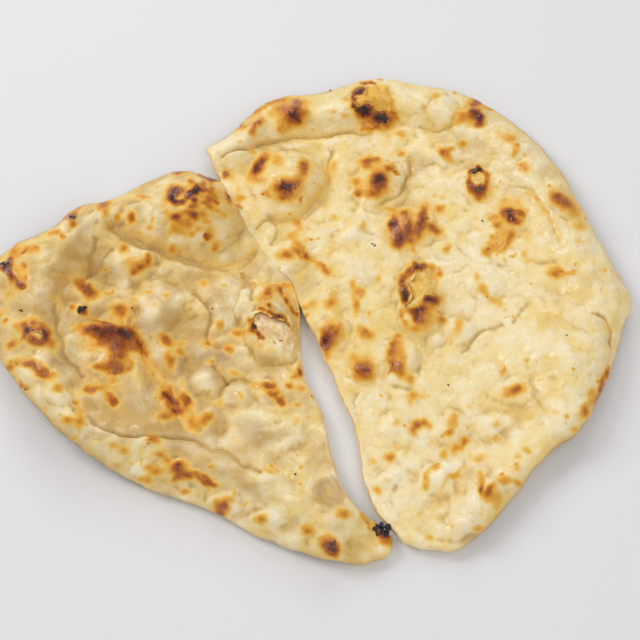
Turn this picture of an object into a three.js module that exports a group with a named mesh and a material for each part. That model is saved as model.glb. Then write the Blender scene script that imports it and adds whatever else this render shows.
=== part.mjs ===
// A large naan bread, cut across into two halves that lie side by side on a table.
// Each half is one closed solid: a thin sheet with a rounded baked rim, a steeper cut
// edge, folds that lift it off the table and blisters that stand on its upper face.
// Millimetres, +Z up, the table at z = 0.
import * as THREE from 'three';

// ---------------------------------------------------------------- driving sizes
const THICKNESS = 5.5; // of the sheet between its blisters
const RIM_ROUNDING = 5; // width of the rounding along the baked rim
const CUT_ROUNDING = 2; // and along the cut
const BLISTER_MARGIN = 5; // blisters fade out over this width at every edge
const SLACK = 1; // a fold lower than this lies flat on the table
const SOFTNESS = 1; // height over which a fold leaves the table
const COLUMNS = { left_half: 40, right_half: 46 }; // mesh cells across each half, even
const ROWS = { left_half: 56, right_half: 52 }; // and from its near end to its far end
const CRUST = { color: 0xe9d3a0, roughness: 0.55, metalness: 0 };

// Plan positions are given as seen from EYE, a point in front of the bread and above it:
// a position is where the line of sight through the feature meets the table, so a raised
// feature really stands a little nearer to EYE than its numbers say.
const EYE = new THREE.Vector3(0, -458, 654);
const LEAN = -EYE.y / EYE.z; // how far a blister's top seems pushed back, for its height
const MIDDLE = new THREE.Vector2(-5.77, 9.13); // of the bread's box, moved to the origin

// ---------------------------------------------------------------- outlines
// Four sides for each half. Near and far sides run from left to right, left and right
// sides run from near to far, and neighbours share their corner.
const OUTLINES = {
  left_half: {
    left: [
      [18, -120], [-5, -115], [-25, -107], [-45, -95.5], [-75, -83], [-95, -70],
      [-115, -52], [-132, -31], [-145, -8], [-149.5, 8], [-149, 22],
    ],
    right: [
      [21, -99.5], [11, -88], [5.5, -71], [1.5, -50], [-6, -31], [-8, -14],
      [-8.6, 0], [-10, 9], [-12.3, 19.5], [-20.9, 30.5], [-34.7, 54.7], [-45.6, 77.6],
    ],
    near: [[18, -120], [27, -116], [29.5, -108.5], [21, -99.5]],
    far: [
      [-149, 22], [-146, 33], [-138, 41.5], [-121, 52.5], [-112, 63], [-100, 66.5],
      [-80, 78], [-68, 84.5], [-57, 83.5], [-45.6, 77.6],
    ],
  },
  right_half: {
    left: [
      [34, -111], [30, -104.5], [23.5, -97], [18, -80], [15, -58], [6, -32], [-1, -12], [-9, 8],
      [-11.5, 20], [-20, 31], [-34, 55], [-46, 79], [-54, 98.5],
    ],
    right: [
      [138, 10], [136.5, 17], [130, 34], [120, 64], [110, 89.5], [100, 105], [80, 125.5],
      [65, 134.8], [45, 139], [37, 141.8], [29, 143],
    ],
    near: [
      [34, -111], [43, -113.5], [53, -114], [62, -109.5], [80, -89], [92, -72],
      [110, -56.5], [125, -28], [133, -4], [136.8, 3.5], [138, 10],
    ],
    far: [
      [-54, 98.5], [-43, 107], [-30, 123], [-18, 131], [0, 133.5], [20, 141.5], [29, 143],
    ],
  },
};
const CUT_SIDE = { left_half: 'right', right_half: 'left' };

// ---------------------------------------------------------------- forms of the relief
// Each form gives its height over a plan position.

// An oval dome with half axes long and wide, long turned from +X in degrees. Its foot is
// a crisp crease where edge is 1 and runs out softly where it is 2.
function dome(x, y, long, wide, turn, high, edge = 1) {
  const cos = Math.cos(THREE.MathUtils.degToRad(turn));
  const sin = Math.sin(THREE.MathUtils.degToRad(turn));
  return (px, py) => {
    const along = ((px - x) * cos + (py - y) * sin) / long;
    const across = ((py - y) * cos - (px - x) * sin) / wide;
    const inside = 1 - along * along - across * across;
    return inside > 0 ? high * inside ** edge : 0;
  };
}

// A rounded ridge along a smooth line, or a groove where high is negative.
function fold(points, width, high) {
  const line = smoothLine(points, 6 * points.length);
  return (px, py) => {
    const far = distanceToLine(line, px, py) / width;
    return far < 3 ? high * Math.exp(-far * far) : 0;
  };
}

// A blister or groove on the upper face only, set nearer by its lean so that its top
// is seen at the position given.
const blister = (x, y, long, wide, turn, high, edge) =>
  dome(x, y - LEAN * high, long, wide, turn, high, edge);

// ---------------------------------------------------------------- the relief itself
// Swells lift the whole sheet off the table.
const SWELLS = {
  left_half: [
    fold([[-113, 50], [-126, 28], [-127, 5], [-121, -16], [-110, -40], [-93, -54],
      [-75, -60], [-55, -65], [-35, -75], [-15, -86], [4, -98]], 14, 13), // raised rim
    fold([[-113, 50], [-126, 28], [-127, 5], [-121, -16], [-110, -40]], 22, 4),
    dome(-60, 62, 31, 28, -10, 10, 1.5), // great bubble at the far corner
    fold([[-99, 2], [-91, -14], [-81, -33], [-72, -51]], 9, 6),
    fold([[-73, -6], [-62, -29], [-53, -48]], 7, 5),
    dome(-71, 8, 20, 20, 0, 5, 2),
    dome(-86, 31, 17, 15, 0, 5, 2),
    dome(-43, 10, 19, 19, 0, 4, 2),
    dome(-25, -52, 20, 16, -30, 5, 2),
  ],
  right_half: [
    fold([[66, 118], [90, 98], [106, 70], [116, 40], [122, 12], [117, -16], [106, -44]],
      14, 9), // raised rim on the right
    fold([[98, -56], [82, -75], [62, -96]], 11, 6),
    fold([[-44, 99], [-28, 113], [-8, 120], [8, 124], [26, 130], [46, 128]], 11, 7),
    dome(98, -14, 34, 32, 0, 6, 2),
    dome(-14, 80, 22, 24, 0, 6, 1.5),
    dome(30, 80, 24, 24, 0, 3, 2),
    dome(45, 14, 22, 30, 0, 3, 2),
  ],
};

// Blisters, grooves and dents are on the upper face alone.
const BLISTERS = {
  left_half: [
    blister(-60, 62, 27, 24, -10, 6),
    blister(-56, 71, 13, 9, -20, 2),
    blister(-22, 2, 14, 23, 12, 6), // burst bubble beside the cut
    blister(-21, -4, 8, 10, 0, -4.5), // and its open crater
    blister(-43, 11, 14, 15, 0, 3),
    blister(-73, 8, 14, 15, 0, 3),
    blister(-86, 31, 13, 12, 0, 3),
    blister(-88, -5, 13, 7, -12, 3.5),
    blister(-91, -22, 8, 10, 20, 2.5),
    blister(-105, 18, 9, 10, 0, 2.5),
    blister(-106, 5, 6, 6, 0, 2),
    blister(-125, -6, 8, 9, 0, 2.2),
    blister(-137, 26, 8, 9, 0, 2.4),
    blister(-116, 56, 8, 6, 30, 2.2),
    blister(-98, 60, 8, 6, 20, 2),
    blister(-84, 60, 8, 8, 0, 2.2),
    blister(-48, -30, 9, 9, 0, 3.6),
    blister(-35, -38, 8, 7, 0, 2.6),
    blister(-48, -51, 8, 7, 0, 2),
    blister(-66, -17, 7, 9, 20, 2.2),
    blister(-22, -35, 10, 7, -30, 2.4),
    blister(-7, -26, 6, 8, 0, 2),
    blister(-13, -57, 9, 10, 0, 2, 2),
    blister(-59, -75, 12, 7, -25, 2.6),
    blister(-73, -77, 7, 6, 0, 1.8),
    blister(-88, -66, 9, 6, -30, 1.8),
    blister(-104, -55, 8, 6, -40, 2),
    blister(-112, -36, 8, 7, -40, 2),
    blister(-129, -30, 8, 7, 0, 1.8),
    blister(-94, -38, 9, 6, -30, 2.2),
    blister(-40, -92, 9, 7, 0, 2),
    blister(-22, -99, 8, 6, -20, 1.8),
    blister(4, -111, 9, 8, 0, 2.2),
    blister(3, -88, 9, 8, 0, -2, 2), // dent near the tip
    fold([[-90, 50], [-83, 42], [-67, 36], [-55, 31.5], [-41, 28], [-31, 34], [-28, 44]],
      4.5, -3), // crease under the great bubble
    fold([[-83, -5], [-76, -21], [-68, -35], [-61, -49], [-56, -58]], 4, -3.2),
    fold([[-60, 19], [-53, 10], [-50, 0], [-55, -12]], 3.5, -2),
    fold([[-104, 46], [-105, 34], [-104, 23]], 4, -2.2),
    fold([[-98, -45], [-84, -50], [-70, -53], [-58, -57]], 4, -1.8),
  ],
  right_half: [
    blister(-14, 80, 18, 21, -10, 5.5),
    blister(28, 79, 14, 15, 0, 4),
    blister(-13, 121, 10, 8, 20, 3),
    blister(-31, 113, 9, 6, 45, 2.2),
    blister(26, 128, 10, 14, 10, 5),
    blister(58, 124, 8, 11, -10, 4),
    blister(74, 120, 8, 8, 0, 2.4),
    blister(93, 100, 8, 8, 0, 2),
    blister(73, 79, 9, 11, 0, 2.6),
    blister(58, 96, 8, 8, 0, 2),
    blister(111, 68, 6, 11, 25, 2.8),
    blister(87, 58, 10, 9, 0, 2.6),
    blister(41, 54, 13, 13, 0, 3.4),
    blister(14, 52, 11, 13, 0, 2.2, 2),
    blister(-10, 40, 11, 10, -30, 2.4, 2),
    blister(44, 14, 11, 21, 0, 4.5), // burst blister in the middle
    blister(45, 12, 7, 12, 0, -4), // and its open crater
    blister(6, -4, 8, 10, 0, 3),
    blister(3, 15, 7, 9, 0, 1.8),
    blister(19, -26, 7, 7, 0, 2.6),
    blister(36, -21, 7, 14, 5, 3),
    blister(62, -4, 7, 8, 0, 1.8),
    blister(74, 20, 9, 10, 0, 1.8),
    blister(105, 25, 10, 9, 0, 2),
    blister(100, -14, 20, 19, 0, 2, 2),
    blister(84, -36, 9, 7, 20, 1.8),
    blister(56, -54, 9, 9, 0, 2.2),
    blister(72, -52, 8, 7, 0, 1.8),
    blister(33, -55, 9, 9, 0, 1.8),
    blister(48, -79, 9, 9, 0, 2.4),
    blister(69, -85, 9, 8, 0, 2.6),
    blister(31, -78, 7, 8, 0, 1.8),
    blister(60, -101, 10, 6, 30, 2),
    fold([[-47, 94], [-33, 101], [-20, 105], [-8, 103], [6, 107], [20, 109]], 3.8, -2.6),
    fold([[47, 111], [57, 113], [67, 114]], 3.6, -2),
    fold([[88, 75], [97, 73], [102, 63], [106, 51], [109, 40]], 3.8, -2.2),
    fold([[79, -3], [92, 10]], 3.6, -1.6),
    fold([[124, 4], [127, -13], [124, -30]], 3.8, -2.4),
    fold([[14, -38], [16, -58], [21, -74]], 3.6, -1.2),
  ],
};

// ---------------------------------------------------------------- lines and distances
function smoothLine(points, steps) {
  const corners = points.map(([x, y]) => new THREE.Vector3(x, y, 0));
  return new THREE.CatmullRomCurve3(corners, false, 'centripetal').getSpacedPoints(steps);
}

function distanceToLine(line, x, y) {
  let nearest = Infinity;
  for (let i = 1; i < line.length; i += 1) {
    const a = line[i - 1];
    const dx = line[i].x - a.x;
    const dy = line[i].y - a.y;
    const along = ((x - a.x) * dx + (y - a.y) * dy) / (dx * dx + dy * dy || 1);
    const t = THREE.MathUtils.clamp(along, 0, 1);
    nearest = Math.min(nearest, Math.hypot(x - a.x - t * dx, y - a.y - t * dy));
  }
  return nearest;
}

const sum = (forms, x, y) => forms.reduce((total, form) => total + form(x, y), 0);

// Quarter of an ellipse: 0 at an edge, 1 from `width` inwards.
function rounding(distance, width) {
  const out = 1 - Math.min(distance / width, 1);
  return Math.sqrt(1 - out * out);
}

// The sheet lies flat until its folds outgrow the slack, and leaves the table smoothly.
function lifted(rise) {
  const free = rise - SLACK;
  if (free <= -SOFTNESS) {
    return 0;
  }
  return free >= SOFTNESS ? free : (free + SOFTNESS) ** 2 / (4 * SOFTNESS);
}

// Even spacing from 0 to 1, with the outermost line of cells split near each end.
function spacing(count) {
  const cells = count - 2;
  const first = [0, 0.28, 0.95];
  return Array.from({ length: count + 1 }, (_, k) => {
    if (k < first.length) {
      return first[k] / cells;
    }
    return count - k < first.length ? 1 - first[count - k] / cells : (k - 1) / cells;
  });
}

// ---------------------------------------------------------------- the solid of a half
// The upper face is a grid blended from the four sides. The underside keeps every second
// line of it, and shares the outermost ring of points.
function breadHalf(name) {
  const outline = OUTLINES[name];
  const columns = COLUMNS[name];
  const rows = ROWS[name];
  const us = spacing(columns);
  const vs = spacing(rows);
  const sides = {};
  for (const [side, points] of Object.entries(outline)) {
    const corners = points.map(([x, y]) => new THREE.Vector3(x, y, 0));
    sides[side] = new THREE.CatmullRomCurve3(corners, false, 'centripetal');
  }
  const cutLine = sides[CUT_SIDE[name]].getSpacedPoints(90);
  const rimLines = Object.keys(sides)
    .filter((side) => side !== CUT_SIDE[name])
    .map((side) => sides[side].getSpacedPoints(60));
  const alongSide = (side, spots) => spots.map((t) => sides[side].getPointAt(t));
  const near = alongSide('near', us);
  const far = alongSide('far', us);
  const left = alongSide('left', vs);
  const right = alongSide('right', vs);

  const planAt = (i, j) => {
    const u = us[i];
    const v = vs[j];
    const blend = (axis) =>
      (1 - v) * near[i][axis] + v * far[i][axis] + (1 - u) * left[j][axis] + u * right[j][axis]
      - (1 - u) * ((1 - v) * left[0][axis] + v * left[rows][axis])
      - u * ((1 - v) * right[0][axis] + v * right[rows][axis]);
    return [blend('x'), blend('y')];
  };

  const positions = [];
  const topIndex = [];
  const bottomIndex = [];
  const onEdge = (i, j) => i === 0 || j === 0 || i === columns || j === rows;
  for (let j = 0; j <= rows; j += 1) {
    topIndex.push([]);
    bottomIndex.push([]);
    for (let i = 0; i <= columns; i += 1) {
      const [x, y] = planAt(i, j);
      const toCut = distanceToLine(cutLine, x, y);
      const toRim = Math.min(...rimLines.map((line) => distanceToLine(line, x, y)));
      const fullness = onEdge(i, j) ? 0 : rounding(toCut, CUT_ROUNDING) * rounding(toRim, RIM_ROUNDING);
      const ground = lifted(sum(SWELLS[name], x, y));
      const crown = ground + (THICKNESS / 2) * (1 + fullness);
      const fade = THREE.MathUtils.smoothstep(Math.min(toCut, toRim), 0, BLISTER_MARGIN);
      const relief = Math.max(sum(BLISTERS[name], x, y), -THICKNESS / 2) * fade;
      const seen = new THREE.Vector3(x, y, 0).lerp(EYE, crown / EYE.z);
      topIndex[j][i] = positions.length / 3;
      positions.push(seen.x - MIDDLE.x, seen.y - MIDDLE.y, crown + relief);
      bottomIndex[j][i] = topIndex[j][i];
      if (!onEdge(i, j) && i % 2 === 0 && j % 2 === 0) {
        bottomIndex[j][i] = positions.length / 3;
        const below = ground + (THICKNESS / 2) * (1 - fullness);
        positions.push(seen.x - MIDDLE.x, seen.y - MIDDLE.y, below);
      }
    }
  }

  // Each cell of the upper face is split along its more level diagonal, which keeps
  // creases straight.
  const triangles = [];
  const heightOf = (index) => positions[3 * index + 2];
  for (let j = 0; j < rows; j += 1) {
    for (let i = 0; i < columns; i += 1) {
      const a = topIndex[j][i];
      const b = topIndex[j][i + 1];
      const c = topIndex[j + 1][i + 1];
      const d = topIndex[j + 1][i];
      const stepAC = Math.abs(heightOf(a) - heightOf(c));
      const stepBD = Math.abs(heightOf(b) - heightOf(d));
      triangles.push(...(stepAC < stepBD ? [a, b, c, a, c, d] : [a, b, d, b, c, d]));
    }
  }
  for (let j = 0; j < rows; j += 2) {
    for (let i = 0; i < columns; i += 2) {
      // Corners of the cell, clockwise, with the points between them where they lie on
      // the ring. A fan from the corner furthest inside covers them all.
      const ring = [
        [j, i], [j + 1, i], [j + 2, i], [j + 2, i + 1],
        [j + 2, i + 2], [j + 1, i + 2], [j, i + 2], [j, i + 1],
      ].filter(([row, column]) => (row % 2 === 0 && column % 2 === 0) || onEdge(column, row));
      const inner = ring.findIndex(([row, column]) =>
        Math.abs(row - rows / 2) === Math.min(Math.abs(j - rows / 2), Math.abs(j + 2 - rows / 2))
        && Math.abs(column - columns / 2)
          === Math.min(Math.abs(i - columns / 2), Math.abs(i + 2 - columns / 2)));
      for (let k = 1; k + 1 < ring.length; k += 1) {
        for (const step of [0, k, k + 1]) {
          const [row, column] = ring[(inner + step) % ring.length];
          triangles.push(bottomIndex[row][column]);
        }
      }
    }
  }

  const geometry = new THREE.BufferGeometry();
  geometry.setAttribute('position', new THREE.Float32BufferAttribute(positions, 3));
  geometry.setIndex(triangles);
  geometry.computeVertexNormals();
  const mesh = new THREE.Mesh(geometry, new THREE.MeshStandardMaterial(CRUST));
  mesh.name = name;
  return mesh;
}

const naan = new THREE.Group();
naan.add(breadHalf('left_half'), breadHalf('right_half'));

export default naan;
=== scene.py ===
"""The looks of a large naan bread that is cut across into two halves.

Each half is modelled as a fine sheet of baked dough: outline, folds and blisters first,
then the browning that the oven left on the blisters, then loose char, torn skins and
herb specks. Sizes in the tables are millimetres, and meshes are made in metres.
"""

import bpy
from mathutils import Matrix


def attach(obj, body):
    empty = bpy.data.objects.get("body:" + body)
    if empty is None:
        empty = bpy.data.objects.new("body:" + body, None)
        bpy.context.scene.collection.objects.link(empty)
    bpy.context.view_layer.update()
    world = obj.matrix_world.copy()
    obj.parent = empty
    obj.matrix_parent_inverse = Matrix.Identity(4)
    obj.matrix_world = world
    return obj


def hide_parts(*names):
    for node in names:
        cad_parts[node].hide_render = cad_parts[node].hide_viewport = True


bl_info = {
    "name": "Naan Bread",
    "version": (1, 0, 0),
    "blender": (4, 5, 0),
    "location": "3D View > Sidebar > Naan",
    "description": "Makes a blistered naan bread in two halves around its packed solids",
    "category": "Add Mesh",
}

import math

import bmesh
import bpy
import numpy as np
from mathutils import Vector

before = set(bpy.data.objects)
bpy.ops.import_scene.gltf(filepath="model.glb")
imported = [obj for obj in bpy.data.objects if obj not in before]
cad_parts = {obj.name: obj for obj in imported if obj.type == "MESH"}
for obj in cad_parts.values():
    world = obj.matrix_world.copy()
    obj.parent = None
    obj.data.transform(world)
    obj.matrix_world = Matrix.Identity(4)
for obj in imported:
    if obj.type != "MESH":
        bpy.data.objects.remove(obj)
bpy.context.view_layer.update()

MM = 0.001
BODY = "root"

# Plan positions are given as seen from EYE, a point in front of the bread and above it:
# a position is where the line of sight through the feature meets the table.
EYE = np.array([0.0, -458.0, 654.0])
LEAN = -EYE[1] / EYE[2]
MIDDLE = np.array([-5.77, 9.13])

# ------------------------------------------------------------------ outlines, in mm
# Near and far sides run from left to right, left and right sides from near to far.
OUTLINES = {
    "left_half": {
        "left": [(18, -120), (-5, -115), (-25, -107), (-45, -95.5), (-75, -83), (-95, -70),
                 (-115, -52), (-132, -31), (-145, -8), (-149.5, 8), (-149, 22)],
        "right": [(21, -99.5), (11, -88), (5.5, -71), (1.5, -50), (-6, -31), (-8, -14),
                  (-8.6, 0), (-9.6, 9), (-11.9, 19.7), (-20.6, 30.8), (-34.2, 55),
                  (-45.4, 77.9)],
        "near": [(18, -120), (27, -116), (29.5, -108.5), (21, -99.5)],
        "far": [(-149, 22), (-146, 33), (-138, 41.5), (-121, 52.5), (-112, 63),
                (-100, 66.5), (-80, 78), (-68, 84.5), (-57, 83.5), (-45.4, 77.9)],
    },
    "right_half": {
        "left": [(34, -111), (30, -104.5), (23.5, -97), (18, -80), (15, -58), (6, -32),
                 (-1, -12), (-9.4, 7.5), (-12.7, 20), (-21.3, 30.5), (-35.4, 54.2),
                 (-46.5, 78.2), (-54, 98.5)],
        "right": [(138, 10), (136.5, 17), (130, 34), (120, 64), (110, 89.5), (100, 105),
                  (80, 125.5), (65, 134.8), (45, 139), (37, 141.8), (29, 143)],
        "near": [(34, -111), (43, -113.5), (53, -114), (62, -109.5), (80, -89), (92, -72),
                 (110, -56.5), (125, -28), (133, -4), (136.8, 3.5), (138, 10)],
        "far": [(-54, 98.5), (-43, 107), (-30, 123), (-18, 131), (0, 133.5), (20, 141.5),
                (29, 143)],
    },
}
CUT_SIDE = {"left_half": "right", "right_half": "left"}
OTHER = {"left_half": "right_half", "right_half": "left_half"}
RELIEF = {"left_half": 1.5, "right_half": 1.15}  # how strongly the blisters stand out
BAKED = {"left_half": 1.25, "right_half": 0.4}  # how unevenly the dough is toasted
CELLS = {"left_half": (240, 340), "right_half": (290, 320)}  # across, near to far
UNDER_STRIDE = 5  # the underside keeps every fifth line of the grid
SIDE_STEPS = 120  # points along each side that distances are measured to
SLACK = 1.0  # folds lower than this leave the sheet on the table
CREASE_REACH = 9  # a crease's hollow ends at this distance from its line
SKIN_SPACING = 0.35  # between the points round a torn opening
SPOT_REACH = 3.6  # a spot's halo ends at this many times its half size
STREAK_REACH = 2.6  # a streak's halo ends at this many times its width
SIGHT_FIXES = 4  # rounds of moving a place until it is seen where it was asked for


# ------------------------------------------------------------------ plan geometry
def smooth_line(points, steps):
    """Evenly spaced points along a centripetal Catmull-Rom curve through the points."""
    p = np.asarray(points, float)
    p = np.vstack([2 * p[0] - p[1], p, 2 * p[-1] - p[-2]])
    knots = np.maximum(np.linalg.norm(np.diff(p, axis=0), axis=1) ** 0.5, 1e-4)
    t = np.linspace(0, 1, 24, endpoint=False)[:, None]
    pieces = []
    for i in range(len(p) - 3):
        a, b, c, d = p[i:i + 4]
        before, here, after = knots[i:i + 3]
        start = ((b - a) / before - (c - a) / (before + here) + (c - b) / here) * here
        end = ((c - b) / here - (d - b) / (here + after) + (d - c) / after) * here
        bend = -3 * b + 3 * c - 2 * start - end
        twist = 2 * b - 2 * c + start + end
        pieces.append(b + start * t + bend * t ** 2 + twist * t ** 3)
    dense = np.vstack(pieces + [p[-2][None]])
    run = np.concatenate([[0], np.cumsum(np.linalg.norm(np.diff(dense, axis=0), axis=1))])
    even = np.linspace(0, run[-1], steps + 1)
    return np.column_stack([np.interp(even, run, dense[:, k]) for k in (0, 1)])


def distance_to_line(line, x, y):
    """Distance from each place to the nearest point of a line."""
    nearest = np.full(x.shape, 1e9)
    for a, b in zip(line[:-1], line[1:]):
        step = b - a
        along = ((x - a[0]) * step[0] + (y - a[1]) * step[1]) / max(step @ step, 1e-9)
        along = np.clip(along, 0, 1)
        far = np.hypot(x - a[0] - along * step[0], y - a[1] - along * step[1])
        nearest = np.minimum(nearest, far)
    return nearest


def near_line(line, reach, x, y, form):
    """form(distance) where the line is within reach, and 0 elsewhere."""
    low, high = line.min(0) - reach, line.max(0) + reach
    close = (x > low[0]) & (x < high[0]) & (y > low[1]) & (y < high[1])
    out = np.zeros(x.shape)
    if close.any():
        out[close] = form(distance_to_line(line, x[close], y[close]))
    return out


def oval(x, y, at, size, turn=0):
    """Distance from the middle of an oval, as a share of its half axes."""
    cos, sin = math.cos(math.radians(turn)), math.sin(math.radians(turn))
    dx, dy = x - at[0], y - at[1]
    return np.hypot((dx * cos + dy * sin) / size[0], (dy * cos - dx * sin) / size[1])


def smoothstep(value, low, high):
    """0 below low, 1 above high and smooth between them."""
    t = np.clip((value - low) / (high - low), 0, 1)
    return t * t * (3 - 2 * t)


def gradient_noise(x, y, size, seed):
    """Smooth noise from about -1 to 1 with features of the given size."""
    rng = np.random.default_rng(seed)
    angles = rng.uniform(0, 2 * np.pi, (64, 64))
    u, v = x / size + 17.3, y / size + 41.7
    i, j = np.floor(u).astype(int), np.floor(v).astype(int)
    fu, fv = u - i, v - j

    def corner(di, dj):
        angle = angles[(i + di) % 64, (j + dj) % 64]
        return np.cos(angle) * (fu - di) + np.sin(angle) * (fv - dj)

    su, sv = (f * f * f * (f * (6 * f - 15) + 10) for f in (fu, fv))
    near = corner(0, 0) * (1 - su) + corner(1, 0) * su
    far = corner(0, 1) * (1 - su) + corner(1, 1) * su
    return 1.5 * (near * (1 - sv) + far * sv)


def layered(value, x, y, *layers):
    """A value with layers of noise added to it, each given by its reach, size and seed."""
    for reach, size, seed in layers:
        value = value + reach * gradient_noise(x, y, size, seed)
    return value


# ------------------------------------------------------------------ forms of the relief
# Each table holds lumps and lines. A lump's row is x, y, two half axes, height, turn in
# degrees and edge; a line's row is its points and what fold or crease takes after them.
def dome(px, py, x, y, long, wide, high, turn=0, edge=1.0):
    """A rounded lump, or a dent where high is below 0. A larger edge blends it in softly."""
    inside = 1 - oval(px, py, (x, y), (long, wide), turn) ** 2
    return high * np.clip(inside, 0, None) ** edge


def fold(px, py, points, width, high):
    """A soft ridge along a line."""
    line = smooth_line(points, 6 * len(points))
    return near_line(line, 3 * width, px, py, lambda far: high * np.exp(-(far / width) ** 2))


def blister(px, py, x, y, long, wide, high, turn=0, edge=None):
    """A dome on the upper face, set nearer so that its top is seen where it is given."""
    edge = edge or (1.0 if long * wide > 150 else 1.5)
    return dome(px, py, x, y - LEAN * high, long, wide, high, turn, edge)


def crease(px, py, points, deep):
    """A crisp fold line with a soft hollow along it."""
    line = smooth_line(points, 8 * len(points))
    return near_line(line, CREASE_REACH, px, py, lambda far: -deep * (
        0.55 * np.exp(-(far / 0.9) ** 2) + 0.45 * np.exp(-(far / 3.2) ** 2)))


def summed(rows, x, y, lump=dome, line=fold):
    """The sum of a table's forms: a line where a row starts with points, or else a lump."""
    return sum((line if isinstance(row[0], list) else lump)(x, y, *row) for row in rows)


# Domes and folds that lift the whole sheet off the table.
SWELLS = {
    "left_half": [
        ([(-113, 50), (-126, 28), (-127, 5), (-121, -16), (-110, -40), (-93, -54), (-75, -60),
          (-55, -65), (-35, -75), (-15, -86), (4, -98)], 14, 13),
        ([(-113, 50), (-126, 28), (-127, 5), (-121, -16), (-110, -40)], 22, 4),
        (-60, 62, 31, 28, 10, -10, 1.5), ([(-99, 2), (-91, -14), (-81, -33), (-72, -51)], 9, 6),
        ([(-73, -6), (-62, -29), (-53, -48)], 7, 5), (-71, 8, 20, 20, 5, 0, 2),
        (-86, 31, 17, 15, 5, 0, 2), (-43, 10, 19, 19, 4, 0, 2), (-25, -52, 20, 16, 5, -30, 2),
    ],
    "right_half": [
        ([(66, 118), (90, 98), (106, 70), (116, 40), (122, 12), (117, -16), (106, -44)], 14, 9),
        ([(98, -56), (82, -75), (62, -96)], 11, 6),
        ([(-44, 99), (-28, 113), (-8, 120), (8, 124), (26, 130), (46, 128)], 11, 7),
        (98, -14, 34, 32, 6, 0, 2), (-14, 80, 22, 24, 5, 0, 1.5), (30, 80, 24, 24, 3, 0, 2),
        (45, 14, 22, 30, 3, 0, 2),
    ],
}

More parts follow.
